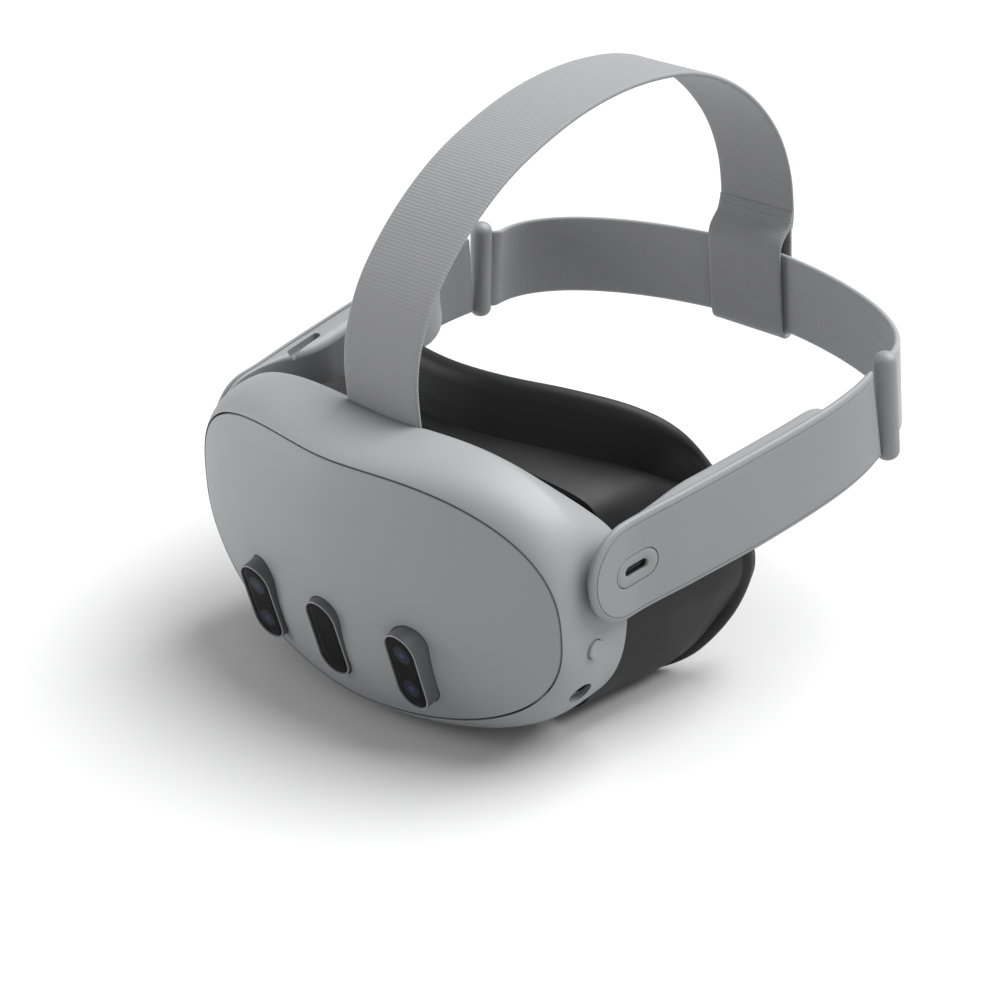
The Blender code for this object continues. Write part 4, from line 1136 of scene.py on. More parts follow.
@dataclass
class Optics:
    """The two viewing lenses, which slide with the eye-spacing drive."""

    eye_x: float = 32.25
    eye_z: float = 2.0
    radius: float = 20.5
    ring_radius: float = 22.5
    rear_y: float = 23.0

    def turned(self, name: str, side: Side, profile: Sequence[tuple[float, float]], wrap: bool) -> bpy.types.Mesh:
        """A shape turned about an eye's axis from pairs of depth and radius."""
        rings = [[Vector((side.value * self.eye_x + a, y, self.eye_z + b)) for a, b in circle(radius, 96)]
                 for y, radius in profile]
        return loft(name, rings, wrap=wrap)

    def build(self) -> None:
        """Make the lenses and their retaining rings."""
        dome = [(9.0, 0.5), (9.0, 0.93 * self.radius), (10.0, self.radius), (20.0, self.radius)]
        dome += [(20.3 + 3.7 * math.sin(t), self.radius * math.cos(t) * 0.995)
                 for t in (math.pi / 2 * k / 16 for k in range(1, 16))]
        bead = ((self.rear_y - 0.4, self.radius + 0.55), (self.rear_y + 0.2, self.radius + 0.7),
                (self.rear_y + 0.45, self.radius + 1.2), (self.rear_y + 0.3, self.ring_radius - 0.15),
                (self.rear_y - 0.4, self.ring_radius))
        for side in Side:
            piece(f"{side.label}_viewing_lens", self.turned("viewing_lens", side, dome, False), PALETTE.lens,
                  f"{side.label}_optics", [f"{side.label}_lens"])
            piece(f"{side.label}_lens_ring", self.turned("lens_ring", side, bead, True), PALETTE.black,
                  f"{side.label}_optics")


# ---------------------------------------------------------------- arms


@dataclass
class Arm:
    """One side arm: an outer plate over a thicker speaker housing, with an upright strap bar."""

    side: Side
    face_x: float = 86.6
    pivot: Vector = field(default_factory=lambda: Vector((0.0, 24.0, 17.5)))
    end: Vector = field(default_factory=lambda: Vector((0.0, 143.6, 35.8)))
    half_height: float = 16.3
    end_half_height: float = 15.3
    bow: tuple = ((-0.2, 1.2), (0.0, 0.0), (0.2, 3.4), (0.45, 7.4), (0.7, 9.8), (0.85, 9.2), (1.0, 6.0), (1.2, 3.0))
    tilt: tuple = ((-0.2, 0.6), (0.0, 0.9), (0.2, 3.0), (0.45, 5.9), (0.75, 6.0), (1.0, 4.4), (1.2, 4.4))
    plate: float = 2.2
    thin: float = 1.2
    thick: float = 9.5
    thicken_start: float = 2.0
    thicken_end: float = 34.0
    speaker_end: float = 97.0
    speaker_inset: float = 0.25
    slot_u: float = 25.5
    slot_depth: float = 6.6
    bar_top: Vector = field(default_factory=lambda: Vector((90.7, 142.5, 54.9)))
    bar_bottom: Vector = field(default_factory=lambda: Vector((93.6, 144.8, 16.8)))
    bar_radius: float = 4.0
    port_u: float = 3.0
    port_length: float = 17.0
    port_height: float = 9.6
    mouth_length: float = 9.3
    mouth_height: float = 3.3

    @property
    def length(self) -> float:
        """Distance from the pivot to the arm's end."""
        return (self.end - self.pivot).length

    @staticmethod
    def table(rows: tuple, at: float) -> float:
        """A smooth value between the middle rows of a table of place and value."""
        k = max(1, min(len(rows) - 3, sum(1 for place, _ in rows if place <= at) - 1))
        (x0, y0), (x1, y1), (x2, y2), (x3, y3) = rows[k - 1:k + 3]
        if at <= x1:
            return y1
        t = (at - x1) / (x2 - x1)
        first, last = (y2 - y0) / (x2 - x0) * (x2 - x1), (y3 - y1) / (x3 - x1) * (x2 - x1)
        return ((2 * t ** 3 - 3 * t ** 2 + 1) * y1 + (t ** 3 - 2 * t ** 2 + t) * first
                + (3 * t ** 2 - 2 * t ** 3) * y2 + (t ** 3 - t ** 2) * last)

    def point(self, u: float, v: float, depth: float) -> Vector:
        """A point of the arm.

        Args:
            u: distance along it from the pivot.
            v: distance up across it.
            depth: distance in from its outer face.

        Returns:
            The point.
        """
        along = (self.end - self.pivot).normalized()
        up = Vector((0.0, -along.z, along.y))
        share = u / self.length
        tilt = math.radians(self.table(self.tilt, share))
        x = self.face_x - depth + self.table(self.bow, share) - v * math.sin(tilt)
        place = self.pivot + along * u + up * v
        return Vector((self.side.value * x, place.y, place.z))

    def half(self, u: float) -> float:
        """Half the arm's height at a distance from the pivot."""
        return self.half_height + (self.end_half_height - self.half_height) * max(u, 0.0) / self.length

    def outline(self, inset: float, end: float, round_end: float) -> Outline:
        """A loop round the arm, half round at the pivot.

        Args:
            inset: how far inside the arm's own outline.
            end: how far it reaches.
            round_end: length of the rounded far end, or 0 for a square one.

        Returns:
            Points (u, v), of the same count for any inset.
        """
        radius = max(self.half_height - inset, 0.0)
        stop = end - round_end - (0.0 if round_end else inset)
        front = [(-radius * math.sin(t), radius * math.cos(t)) for t in (math.pi * k / 40 for k in range(41))]
        lower = [(stop * k / 56, -max(self.half(stop * k / 56) - inset, 0.0)) for k in range(1, 57)]
        reach, tall = max(round_end - inset, 0.0), max(self.half(stop) - inset, 0.0)
        tip = []
        for k in range(1, 20):
            t = math.pi * k / 20 - math.pi / 2
            if round_end:
                tip.append((stop + reach * abs(math.cos(t)) ** 0.7,
                            math.copysign(tall * abs(math.sin(t)) ** 0.7, t) if k != 10 else 0.0))
            else:
                tip.append((stop, tall * (k - 10) / 10))
        upper = [(u, -v) for u, v in reversed(lower)]
        return front + lower + tip + upper

    def plate_mesh(self) -> bpy.types.Mesh:
        """The outer plate with its edge groove and chamfer."""
        end = self.length - self.bar_radius - 1.6
        h = self.half_height
        profile = ((h, 0.0), (12.0, 0.0), (8.0, 0.0), (4.0, 0.0), (2.2, 0.0),
                   (2.02, 0.02), (1.97, 0.28), (1.78, 0.28),
                   (1.72, 0.1), (1.6, 0.08), (0.55, 0.62), (0.25, 0.82), (0.06, 1.08), (0.0, 1.35), (0.0, 1.95),
                   (0.08, 2.12), (0.25, 2.2), (4.0, 2.2), (10.0, 2.2), (h, 2.2))
        rings = [[self.point(u, v, depth) for u, v in self.outline(inset, end, 0.0)] for inset, depth in profile]
        mesh = loft("plate", rings, merge=0.012)
        if self.side is Side.LEFT:
            mesh = carve("plate", mesh, [self.oval("oval", self.port_length + 0.5, self.port_height + 0.5,
                                                   ((0.0, -2.0), (0.0, 4.0)))])
        return mesh

    def thickness(self, u: float) -> float:
        """Thickness of the inner layer at a distance from the pivot."""
        thick = self.thin + (self.thick - self.thin) * smoothstep(self.thicken_start, self.thicken_end, u)
        start = self.speaker_end - self.half_height * 0.8
        if u > start:
            thick *= 0.3 + 0.7 * math.sqrt(max(1 - ((u - start) / (self.speaker_end - start)) ** 2, 0.0))
        return thick

    def speaker_mesh(self) -> bpy.types.Mesh:
        """The rounded inner housing with its pin hole, and on the right arm its grille recess."""
        top, h = self.plate + GAP, self.half_height
        rounded = self.half_height * 0.8

        def layer(inset: float, level: Optional[float], turn: float = 0.0) -> Ring:
            """A ring at a share of the thickness, or at a turn round the inner edge where level is None."""
            ring = []
            for u, v in self.outline(inset, self.speaker_end, rounded):
                thick = self.thickness(u)
                corner = min(thick * 0.45, 4.0)
                if level is None:
                    shrink = corner * (1 - math.cos(turn)) / max(self.half(u) - inset, 1.0)
                    depth = top + thick - corner + corner * math.sin(turn)
                    ring.append(self.point(u, v * (1 - shrink), depth))
                else:
                    ring.append(self.point(u, v, top + thick * level))
            return ring

        base = self.speaker_inset
        rings = [layer(h, 0.0), layer(8.0, 0.0), layer(base + 0.3, 0.0), layer(base, 0.04)]
        rings += [layer(base, None, math.pi / 2 * k / 7) for k in range(8)]
        rings += [layer(base + 3.0, 1.0), layer(6.0, 1.0), layer(10.0, 1.0), layer(h, 1.0)]
        slot = []
        for v in (13.2, 22.0):
            slot.append([self.point(self.slot_u + b, v, self.slot_depth + a) for a, b in stadium(3.2, 16.0, 12)])
        pocket = []
        for u in (36.0, 66.0):
            pocket.append([self.point(u, v, depth) for v, depth in ((-9, 1.7), (9, 1.7), (9, 7.7), (-9, 7.7))])
        sign = self.side.value
        pin = Vector((0.0, self.pivot.y, self.pivot.z))
        hole = rod("pin", pin + Vector((sign * 70.6, 0, 0)), pin + Vector((sign * 84.5, 0, 0)),
                   ((0, 5.3), (1, 5.3)))
        cutters = [loft("pocket", pocket), hole]
        if self.side is Side.RIGHT:
            cutters.append(loft("slot", slot))
        return carve("speaker", loft("speaker", rings, merge=0.012), cutters)

    def oval(self, name: str, length: float, height: float, profile: Sequence[tuple[float, float]],
             wrap: bool = False) -> bpy.types.Mesh:
        """An oval through the arm's side, lofted over pairs of inset and depth."""
        rings = [[self.point(self.port_u + b, -a, depth)
                  for a, b in stadium(height - 2 * inset, length - 2 * inset)] for inset, depth in profile]
        return loft(name, rings, wrap=wrap)

    def port(self) -> None:
        """The charging port's insert, its near-black lining, which is painted shade inside the mouth, and its
        tongue.
        """
        rings = []
        for inset, depth in ((0.0, 2.2), (0.0, 0.3), (0.08, 0.1), (0.25, 0.03)):
            rings.append([self.point(self.port_u + b, -a, depth) for a, b in
                          stadium(self.port_height - 2 * inset, self.port_length - 2 * inset)])
        for inset, depth in ((-0.5, 0.03), (-0.15, 0.12), (0.0, 0.5), (0.0, 2.2)):
            rings.append([self.point(self.port_u + b, -a, depth) for a, b in
                          stadium(self.mouth_height - 2 * inset, self.mouth_length - 2 * inset)])
        body = self.side.arm_body
        piece("port_surround", loft("port_surround", rings, wrap=True), PALETTE.arm_grey, body,
              ["charging_port"])
        # The lining is a near-black sleeve inside the mouth: painted shade for the port's dark inside.
        lining = self.oval("port_lining", self.mouth_length, self.mouth_height,
                           ((0.05, 0.9), (0.05, 2.15), (1.2, 2.15), (1.2, 2.0), (0.35, 2.0), (0.35, 0.9)), True)
        piece("port_lining", lining, PALETTE.dark, body)
        tongue = self.oval("port_tongue", self.mouth_length - 2.8, self.mouth_height - 2.5,
                           ((0.1, 1.25), (0.0, 1.35), (0.0, 2.1)))
        piece("port_tongue", tongue, PALETTE.dark, body)

    def bar_mesh(self) -> bpy.types.Mesh:
        """The upright bar that the rear band loops on."""
        low, top = (Vector((self.side.value * end.x, end.y, end.z)) for end in (self.bar_bottom, self.bar_top))
        length = (top - low).length
        cap = [(self.bar_radius * 0.85 * (1 - math.cos(t)) / length, max(self.bar_radius * math.sin(t), 0.15))
               for t in (math.pi / 2 * k / 10 for k in range(11))]
        profile = cap + [(share, self.bar_radius) for share in (0.25, 0.5, 0.75)]
        profile += [(1 - share, radius) for share, radius in reversed(cap)]
        return rod("bar", low, top, profile)

    def grille(self) -> None:
        """Rows of small near-black discs on the recess's floor: painted shade standing for the sound holes."""
        along = (self.end - self.pivot).normalized()
        up = Vector((0.0, -along.z, along.y))
        places = []
        for row in (-0.8, 0.0, 0.8):
            for k in range(17):
                u = self.slot_u + 0.8 * (k - 8) + (0.4 if row == 0.0 else 0.0)
                places.append((self.point(u, 13.22, self.slot_depth + row), along, up))
        Repeat(f"{self.side.label}_grille", Stamp.DISC, 0.42, 0.42, 0.08).make(
            places, PALETTE.dark, self.side.arm_body)

    def build(self) -> None:
        """Make the arm's pieces."""
        label, body = self.side.label, self.side.arm_body
        piece(f"{label}_outer_plate", self.plate_mesh(), PALETTE.arm_grey, body, [f"{label}_arm_plate"])
        piece(f"{label}_inner_housing", self.speaker_mesh(), PALETTE.grey, body,
              [f"{label}_speaker_housing"])
        piece(f"{label}_upright_bar", self.bar_mesh(), PALETTE.arm_grey, body, [f"{label}_strap_bar"])
        if self.side is Side.LEFT:
            self.port()
        else:
            self.grille()


# ---------------------------------------------------------------- straps


@dataclass
class Straps:
    """The rear band, the top strap and the loop that joins them."""

    thick: float = 2.0
    top_half: float = 16.2
    band_half: float = 15.2
    band_half_width: float = 88.7
    band_start_y: float = 143.6 + 4.0 + 2.2
    band_start_z: float = 35.8
    band_rear_y: float = 188.5
    band_rear_z: float = 43.0
    start_lean: float = math.radians(4.4)
    rear_lean: float = math.radians(7.0)
    route: tuple = ((6.6, 46.5), (5.2, 62), (7.2, 75), (13.8, 89.5), (27, 105), (43, 117.5), (60, 126), (80, 132.6),
                    (100, 135.8), (119, 135.8), (134, 133.5), (148, 128.5), (161, 121), (172, 111.5), (181, 100),
                    (187, 86.5), (189.5, 73), (189.3, 66.5))
    loop_route: tuple = ((3.7, 25.2), (3.5, 19.0), (3.2, 11.0), (3.1, 0.0), (3.1, -10.0), (2.95, -14.6),
                         (1.9, -16.9),
                         (0.0, -17.7), (-1.9, -16.9), (-2.95, -14.6), (-3.1, -8.0), (-3.1, 4.0), (-3.1, 13.5),
                         (-2.7, 17.2), (-1.3, 19.9), (0.6, 21.9), (2.6, 24.0), (3.9, 27.0), (4.7, 29.8))

    def section(self, half: float, thick: float, across: int = 14) -> Outline:
        """A strap's cross-section: flat faces, round edges and a faint selvedge bead.

        Args:
            half: half its width.
            thick: its thickness.
            across: divisions of each face.

        Returns:
            Points (across, outwards).
        """
        radius = thick / 2
        flat = [-(half - radius) + 2 * (half - radius) * k / across for k in range(across + 1)]

        def face(x: float) -> float:
            """Half the thickness at a place across, with the selvedge's bead."""
            return radius * (0.9 + 0.1 * smoothstep(half - 2.4, half - 1.2, abs(x)))

        outer = [(x, face(x)) for x in flat]
        edge = [(half - radius + radius * math.cos(t), radius * math.sin(t))
                for t in (math.pi / 2 - math.pi * k / 6 for k in range(1, 6))]
        inner = [(x, -face(x)) for x in reversed(flat)]
        return outer + edge + inner + [(-x, -y) for x, y in edge]

    def ribbon(self, name: str, rows: Sequence[tuple[Vector, Vector, Vector]], half: float,
               thick: float) -> bpy.types.Mesh:
        """A strap along a route.

        Args:
            name: the mesh's name.
            rows: for each step its middle, the direction across and the direction outwards.
            half: half the strap's width.
            thick: its thickness.

        Returns:
            The mesh, with UVs in metres.
        """
        section = self.section(half, thick)
        rings = [[middle + side * a + out * b for a, b in section] for middle, side, out in rows]
        run = [0.0]
        for (first, _, _), (second, _, _) in zip(rows, rows[1:]):
            run.append(run[-1] + (second - first).length)
        return loft(name, rings, chart=lambda r, i: (section[i][0] * MM, run[r] * MM))

    def band_row(self, t: float) -> tuple[Vector, Vector, Vector]:
        """Middle, up and outward directions of the rear band, from 0 at the left to pi at the right."""
        c, s = math.cos(t), math.sin(t)
        depth = self.band_rear_y - self.band_start_y
        x = math.copysign(self.band_half_width * abs(c) ** 1.15, c)
        y = self.band_start_y + depth * abs(s)
        z = self.band_start_z + (self.band_rear_z - self.band_start_z) * (y - self.band_start_y) / depth
        out = Vector((c / self.band_half_width, s / depth, 0)).normalized()
        lean = self.start_lean + (self.rear_lean - self.start_lean) * abs(s)
        up = (Vector((0, 0, 1)) * math.cos(lean) - out * math.sin(lean)).normalized()
        return Vector((x, y, z)), up, out

    def tucked(self, rows: Sequence[tuple[Vector, Vector, Vector]],
               side: Side) -> list[tuple[Vector, Vector, Vector]]:
        """Steps from the band's end into its bar, nearest first."""
        arm = Arm(side)
        middle, up, out = rows[0]
        bar = (arm.bar_top + arm.bar_bottom) / 2
        bar = Vector((side.value * bar.x, bar.y + 1.0, middle.z))
        made = []
        for k in range(1, 9):
            share = k / 8
            ease = share * share
            made.append((Vector((middle.x + (bar.x - middle.x) * ease, middle.y + (bar.y - middle.y) * share,
                                 middle.z)), up, out))
        return made

    def top_rows(self) -> list[tuple[Vector, Vector, Vector]]:
        """Steps along the top strap."""
        path = spline([Vector((0.0, y, z)) for y, z in self.route], 150)
        across = Vector((1, 0, 0))
        rows = []
        for i, point in enumerate(path):
            run = (path[min(i + 1, len(path) - 1)] - path[max(i - 1, 0)]).normalized()
            rows.append((point, across, across.cross(run)))
        return rows

    def loop_rows(self) -> list[tuple[Vector, Vector, Vector]]:
        """Steps round the loop that holds the rear band."""
        middle, up, out = self.band_row(math.pi / 2)
        middle = middle - out * 0.5
        path = spline([middle + out * a + up * b for a, b in self.loop_route], 110)
        across = Vector((1, 0, 0))
        rows = []
        for i, point in enumerate(path):
            run = (path[min(i + 1, len(path) - 1)] - path[max(i - 1, 0)]).normalized()
            rows.append((point, across, across.cross(run)))
        return rows

    def stitches(self, rows: Sequence[tuple[Vector, Vector, Vector]]) -> None:
        """Two rows of stitches where the loop is sewn to the strap."""
        places = []
        for index in (4, 7):
            middle, across, out = rows[-index]
            for k in range(-7, 8):
                places.append((middle + across * (k * 2.0) + out * 0.82, across, out))
        Repeat("loop_stitches", Stamp.BAR, 1.5, 0.34, 0.3).make(places, PALETTE.thread, "left_arm")

    def build(self) -> None:
        """Make the straps."""
        rows = [self.band_row(math.pi * (k + 0.02) / 140.04) for k in range(141)]
        rows = self.tucked(rows, Side.LEFT)[::-1] + rows + self.tucked(rows[::-1], Side.RIGHT)
        band = piece("elastic_band", self.ribbon("elastic_band", rows, self.band_half, self.thick), PALETTE.elastic,
                     "left_arm", ["rear_band"])
        self.run(rows)
        rows = self.top_rows()
        top = piece("head_strap", self.ribbon("head_strap", rows, self.top_half, 1.7), PALETTE.webbing,
                    None, ["top_strap"])
        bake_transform(top)
        self.run(rows)
        rows = self.loop_rows()
        loop = piece("band_loop", self.ribbon("band_loop", rows, self.top_half, 1.5), PALETTE.webbing,
                     "left_arm", ["strap_loop"])
        self.run(rows)
        self.stitches(rows)

    @staticmethod
    def run(rows: Sequence[tuple[Vector, Vector, Vector]]) -> float:
        """Length of a strap's route in metres."""
        return sum((b[0] - a[0]).length for a, b in zip(rows, rows[1:])) * MM

    @staticmethod
    def spot(y: float, z: float) -> Vector:
        """A point of the middle plane in the frame."""
        return (Vector((0.0, y, z)) + ORIGIN) * MM


# ---------------------------------------------------------------- facial interface


@dataclass
class FaceInterface:
    """The rubber surround that rests on the face, its slide frame and the two depth buttons.

    The rim's rows are points of half of it. The front edge's rows pair a growth with a depth behind
    the skin's start, and the lip's rows give a share inwards, a growth and a depth from the rim.
    """

    rim: tuple = ((0, 36.5, 53), (20, 39, 53), (40, 47, 52), (57, 57, 48.5), (67, 67, 41), (69, 80, 26),
                  (69.5, 93, 6), (69.5, 100.5, -12), (67.5, 98.5, -25), (64.5, 92, -34.5), (59.5, 83, -42),
                  (50.5, 75, -46), (39.5, 68.5, -43.5), (29, 61.5, -37), (18, 54, -27),
                  (8, 48.5, -17), (0, 47, -13))
    points: int = 192
    roll: float = 4.0
    brow_flange: float = 13.0
    side_flange: float = 2.0
    cheek_fullness: float = 2.5
    wall: float = 2.6
    gap: float = 0.8
    frame_depth: float = 6.0
    easing: int = 40
    flare: float = 4.6
    front_edge: tuple = ((0.1, 0.5), (0.15, 0.1), (0.4, 0.0), (0.65, 0.25), (0.7, 0.9))
    lip: tuple = ((1.0, 0.3, -5.2), (0.86, 0.2, -4.5), (0.62, 0.1, -3.9), (0.5, -0.2, -3.7), (0.46, 0.15, -3.5),
                  (0.14, 0.9, -3.4), (0.0, 2.2, -3.1), (0.0, 3.3, -2.2), (0.0, 3.9, -0.9), (0.0, 4.0, 0.4),
                  (0.0, 3.6, 1.7), (0.0, 2.7, 2.7), (0.0, 1.5, 3.25), (0.0, 0.2, 3.4), (0.0, -1.2, 3.3),
                  (0.0, -2.5, 3.0), (0.04, -3.3, 2.5), (0.2, -3.3, 1.8), (0.5, -2.9, 0.7), (0.8, -2.65, -0.3),
                  (1.0, -2.6, -1.2))
    button: Vector = field(default_factory=lambda: Vector((64.5, 34.8, 0.0)))
    button_half: Vector = field(default_factory=lambda: Vector((2.8, 1.7, 5.0)))

    def __post_init__(self) -> None:
        """Lay out the rim's points with their outward directions."""
        half = [Vector(row) for row in self.rim]
        mirrored = [Vector((-p.x, p.y, p.z)) for p in reversed(half[1:-1])]
        path = spline(half + mirrored, self.points, closed=True)
        self.loop = []
        for i, point in enumerate(path):
            step = path[(i + 1) % len(path)] - path[i - 1]
            self.loop.append((point, Vector((-step.z, 0, step.x)).normalized()))
        self.body = self.eased_body()

    def drop(self, point: Vector) -> float:
        """How far the body lies below the rim at the brow."""
        return self.brow_flange * smoothstep(20, 50, point.z)

    def eased_body(self) -> list[Vector]:
        """The body's outline inside the rim, with its upper corners eased into broad curves."""
        body = []
        for point, out in self.loop:
            step = self.side_flange - self.cheek_fullness * smoothstep(20, 40, -point.z)
            body.append(point - out * step - Vector((0, 0, self.drop(point))))
        for _ in range(self.easing):
            smooth = [(body[i - 1] + body[i] * 2 + body[(i + 1) % len(body)]) / 4 for i in range(len(body))]
            body = [a.lerp(b, smoothstep(2, 14, a.z) * smoothstep(22, 34, abs(a.x))) for a, b in zip(body, smooth)]
        return body

    def flank(self, point: Vector) -> float:
        """How far the body flares towards the lip: full at the sides, less at the cheeks, none at the brow."""
        full = self.flare - (self.cheek_fullness + 0.6) * smoothstep(15, 35, -point.z)
        return full * (1 - smoothstep(14, 40, point.z)) * smoothstep(30, 46, abs(point.x))

    def ring(self, inward: float, grow: Growth, depth: Callable[[Vector], float]) -> Ring:
        """A ring of the interface.

        Args:
            inward: 0 at the rim, 1 at the body inside it.
            grow: growth away from the middle, or what gives it from the rim's point.
            depth: gives Y from the rim's point.

        Returns:
            The ring.
        """
        ring = []
        for (point, out), body in zip(self.loop, self.body):
            base = point.lerp(body, inward) + out * (grow(point) if callable(grow) else grow)
            ring.append(Vector((base.x, depth(point), base.z)))
        return ring

    def front(self, point: Vector) -> float:
        """Depth of the frame's front edge, which follows the housing."""
        return SKIN.rear_y(point.z - self.drop(point) - 2 * SHELL) + self.gap

    def joint(self, point: Vector) -> float:
        """Depth where the rubber meets the frame."""
        return self.front(point) + self.frame_depth

    def cushion_mesh(self) -> bpy.types.Mesh:
        """The rubber body with its rolled lip."""
        def start(point: Vector) -> float:
            """Depth where the inner wall begins, behind the frame."""
            return self.joint(point) + 2 * GAP

        def cover(point: Vector) -> float:
            """Depth of the outer skin's front edge, which laps over the frame."""
            return self.front(point) + 0.4

        def skin_grow(point: Vector, share: float) -> float:
            """How far the outer skin stands out, at a share of the way to the lip."""
            return 0.7 + self.flank(point) * (share / 0.86) ** 1.4

        def lip_grow(point: Vector, inward: float, grow: float) -> float:
            """The lip's own growth, or the flank's where that is more; its inner side is left alone."""
            if grow <= -1.0:
                return grow
            return max(grow, self.flank(point) * (0.62 + 0.53 * inward))

        body = [self.ring(1, grow, lambda p, b=back: cover(p) + b) for grow, back in self.front_edge]
        body += [self.ring(1, lambda p, s=share: skin_grow(p, s),
                           lambda p, s=share: cover(p) + 1.5 + (p.y - self.roll - 2.5 - cover(p)) * s)
                 for share in (0.06, 0.2, 0.34, 0.48, 0.62, 0.74, 0.82, 0.86)]
        lip = [self.ring(inward, lambda p, i=inward, g=grow: lip_grow(p, i, g), lambda p, b=back: p.y + b)
               for inward, grow, back in self.lip]
        inner = [self.ring(1, -self.wall, lambda p, s=share: start(p) + (p.y - 1.2 - start(p)) * s)
                 for share in (0.86, 0.7, 0.5, 0.3, 0.12, 0.0)]
        lap = [self.ring(1, 0.1, start)]
        return carve("cushion", loft("cushion", body + lip + inner + lap, wrap=True), self.key_holes())

    def key_holes(self) -> list[bpy.types.Mesh]:
        """Cutters for the two depth keys."""
        grown = self.button_half + Vector((5.0, GAP, GAP))
        holes = []
        for side in Side:
            middle = Vector((side.value * self.button.x, self.button.y, self.button.z))
            holes.append(block("hole", middle - grown, middle + grown, 0.6))
        return holes

    def gasket_mesh(self) -> bpy.types.Mesh:
        """The dark plate fixed in the visor's rear opening, in whose hole the interface slides."""
        edge = SKIN.housing_ring(2.0, SHELL + 0.15)
        rings = []
        for share, back in ((0.3, -4.2), (0.6, -4.2), (0.8, -4.2), (0.9, -4.2), (1.0, -4.2), (1.0, -1.5),
                            (0.9, -1.3), (0.8, -1.3), (0.6, -1.3), (0.3, -1.3)):
            rings.append([Vector((p.x * share, SKIN.rear_y(p.z * share) + back, p.z * share)) for p in edge])
        hole = loft("hole", [self.ring(1, 1.1, lambda p, y=y: y) for y in (5.0, 60.0)])
        return carve("gasket", loft("gasket", rings), [hole])

    def frame_mesh(self) -> bpy.types.Mesh:
        """The rigid slide frame with a hole for each depth button."""
        rings = [self.ring(1, grow, depth) for grow, depth in (
            (-0.3, self.front), (0.0, lambda p: self.front(p) + 0.3), (0.0, lambda p: self.joint(p) - 0.3),
            (-0.3, self.joint), (0.3 - self.wall, self.joint), (-self.wall, lambda p: self.joint(p) - 0.3),
            (-self.wall, lambda p: self.front(p) + 0.3), (0.3 - self.wall, self.front))]
        return carve("slide_frame", loft("frame", rings, wrap=True), self.key_holes())

    def build(self) -> None:
        """Make the interface."""
        piece("slide_frame", self.frame_mesh(), PALETTE.rubber, "interface", ["interface_frame"])
        piece("opening_gasket", self.gasket_mesh(), PALETTE.rubber, "visor")
        cushion = piece("face_surround", self.cushion_mesh(), PALETTE.rubber, "interface",
                        ["face_cushion"])
        for side in Side:
            middle = Vector((side.value * self.button.x, self.button.y, self.button.z))
            piece(f"{side.label}_depth_key", block("depth_key", middle - self.button_half,
                                                   middle + self.button_half, 0.9),
                  PALETTE.black, f"{side.label}_depth_button", [f"{side.label}_depth_button"])


# ---------------------------------------------------------------- carried-over works


@dataclass
class Works:
    """The inner works, which keep the frame's own shapes and get their finishes here."""

    finishes: dict = field(default_factory=lambda: {
        PALETTE.black: ("battery_pack", "fan_housing", "fan_impeller", "left_lens_barrel", "right_lens_barrel",
                        "left_rack", "right_rack", "ipd_wheel", "ipd_idler", "rear_cover", "depth_projector",
                        "left_tracking_camera", "right_tracking_camera", "left_colour_camera",
                        "right_colour_camera", "left_speaker", "right_speaker"),
        PALETTE.aluminium: ("heat_sink", "chassis"),
        PALETTE.steel: ("left_arm_pivot", "right_arm_pivot", "left_chassis_screw", "right_chassis_screw",
                        "upper_guide_rod", "lower_guide_rod", "strap_anchor"),
        PALETTE.board: ("mainboard",),
        PALETTE.glass: ("left_display", "right_display", "proximity_sensor"),
        PALETTE.brass: ("charging_contacts",)})

    def build(self) -> None:
        """Dress each carried-over node."""
        for finish, names in self.finishes.items():
            for name in names:
                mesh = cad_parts[name].data
                mesh.materials.clear()
                mesh.materials.append(PALETTE.material(finish))
                LOG.info("%s: dressed in %s", name, finish.name)


# ---------------------------------------------------------------- studio


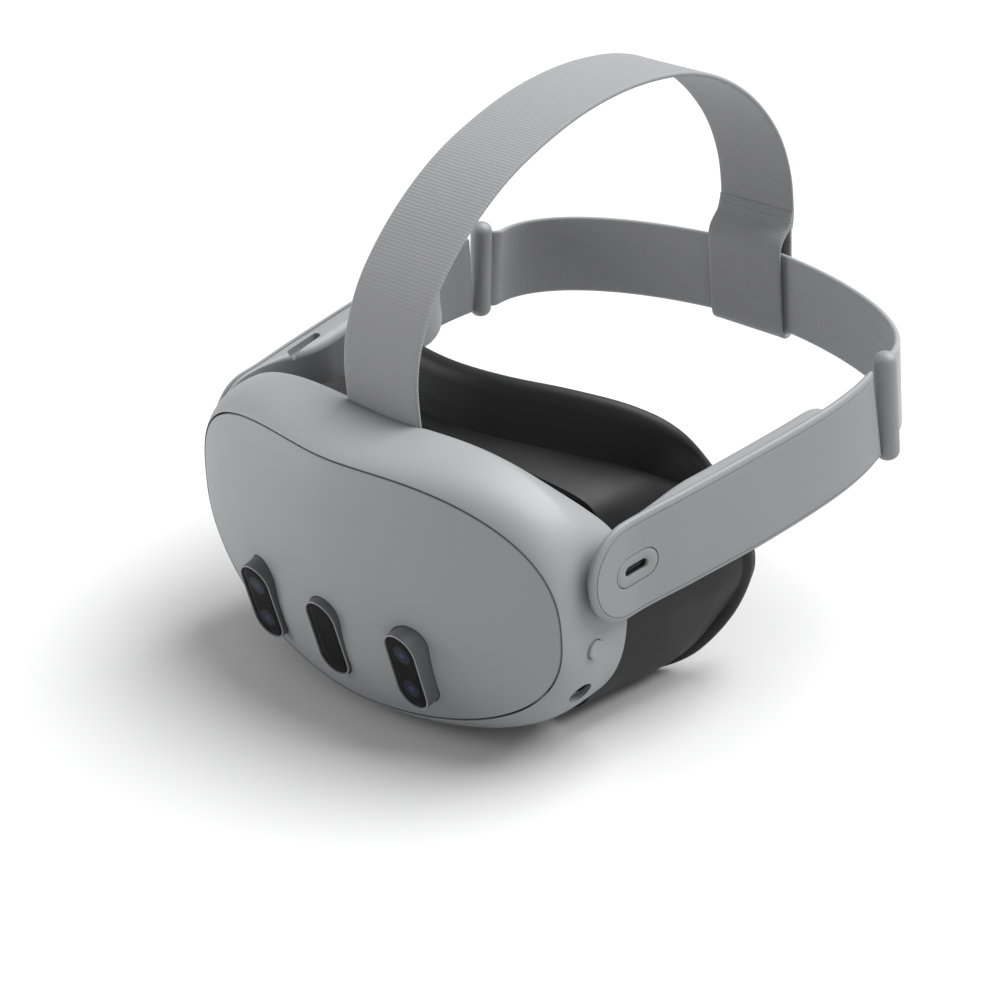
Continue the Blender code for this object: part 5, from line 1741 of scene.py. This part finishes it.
@dataclass
class Studio:
    """The floor, the lights and the camera."""

    eye: Vector = field(default_factory=lambda: Vector((0.51657, -0.56308, 0.40842)))
    turn: tuple = (math.radians(64.377), 0.0, math.radians(43.881))
    lens: float = 89.42
    sky: float = 0.5
    floor_half: float = 6.0
    floor_tone: tuple = (0.56, 0.56, 0.564, 1.0)
    overhead_strength: float = 5.6
    overhead_spread: float = math.radians(56)
    overhead_from: tuple = (0.3, 0.55, 1.0)
    side_place: tuple = (-1.0, -0.75, 0.3)
    side_aim: tuple = (0.0, 0.0, 0.05)
    side_size: float = 0.6
    side_power: float = 6.5

    def light(self, name: str, place: tuple, aim: tuple, size: float, power: float) -> None:
        """Hang a square softbox.

        Args:
            name: its name.
            place: where it hangs.
            aim: what it points at.
            size: its side.
            power: its power in watts.
        """
        data = bpy.data.lights.new(name, "AREA")
        data.shape, data.size, data.energy = "SQUARE", size, power
        obj = bpy.data.objects.new(name, data)
        obj.location = place
        obj.rotation_euler = (Vector(aim) - Vector(place)).to_track_quat("-Z", "Y").to_euler()
        bpy.context.scene.collection.objects.link(obj)

    def build(self) -> None:
        """Make the studio."""
        scene = bpy.context.scene
        bm = bmesh.new()
        bmesh.ops.create_grid(bm, x_segments=1, y_segments=1, size=self.floor_half)
        mesh = bpy.data.meshes.new("floor")
        bm.to_mesh(mesh)
        bm.free()
        graph = Graph("pale_floor")
        graph.set(Base_Color=self.floor_tone, Roughness=0.9, Specular_IOR_Level=0.1)
        mesh.materials.append(graph.material)
        floor = loose("floor", mesh)
        world = bpy.data.worlds.new("studio")
        world.use_nodes = True
        background = world.node_tree.nodes["Background"]
        background.inputs["Color"].default_value = (1.0, 1.0, 1.0, 1.0)
        background.inputs["Strength"].default_value = self.sky
        scene.world = world
        sun = bpy.data.lights.new("overhead", "SUN")
        sun.energy, sun.angle = self.overhead_strength, self.overhead_spread
        ceiling = bpy.data.objects.new("overhead", sun)
        ceiling.rotation_euler = Vector(self.overhead_from).to_track_quat("Z", "Y").to_euler()
        scene.collection.objects.link(ceiling)
        self.light("left_side", self.side_place, self.side_aim, self.side_size, self.side_power)
        data = bpy.data.cameras.new("camera")
        data.lens, data.sensor_width = self.lens, 36.0
        data.clip_start, data.clip_end = 0.01, 50.0
        camera = bpy.data.objects.new("camera", data)
        camera.location, camera.rotation_euler = self.eye, self.turn
        scene.collection.objects.link(camera)
        scene.camera = camera
        scene.view_settings.view_transform = "Standard"


def main() -> None:
    """Build the headset and its studio."""
    logging.basicConfig(level=logging.INFO, format="%(message)s", stream=sys.stdout)
    left_arm = Arm(Side.LEFT, thick=7.2, speaker_inset=1.6)
    for part in (FrontCover(), Housing(), Optics(), left_arm, Arm(Side.RIGHT), Straps(), FaceInterface(),
                 Works(), Studio()):
        part.build()


if __name__ == "__main__":
    main()
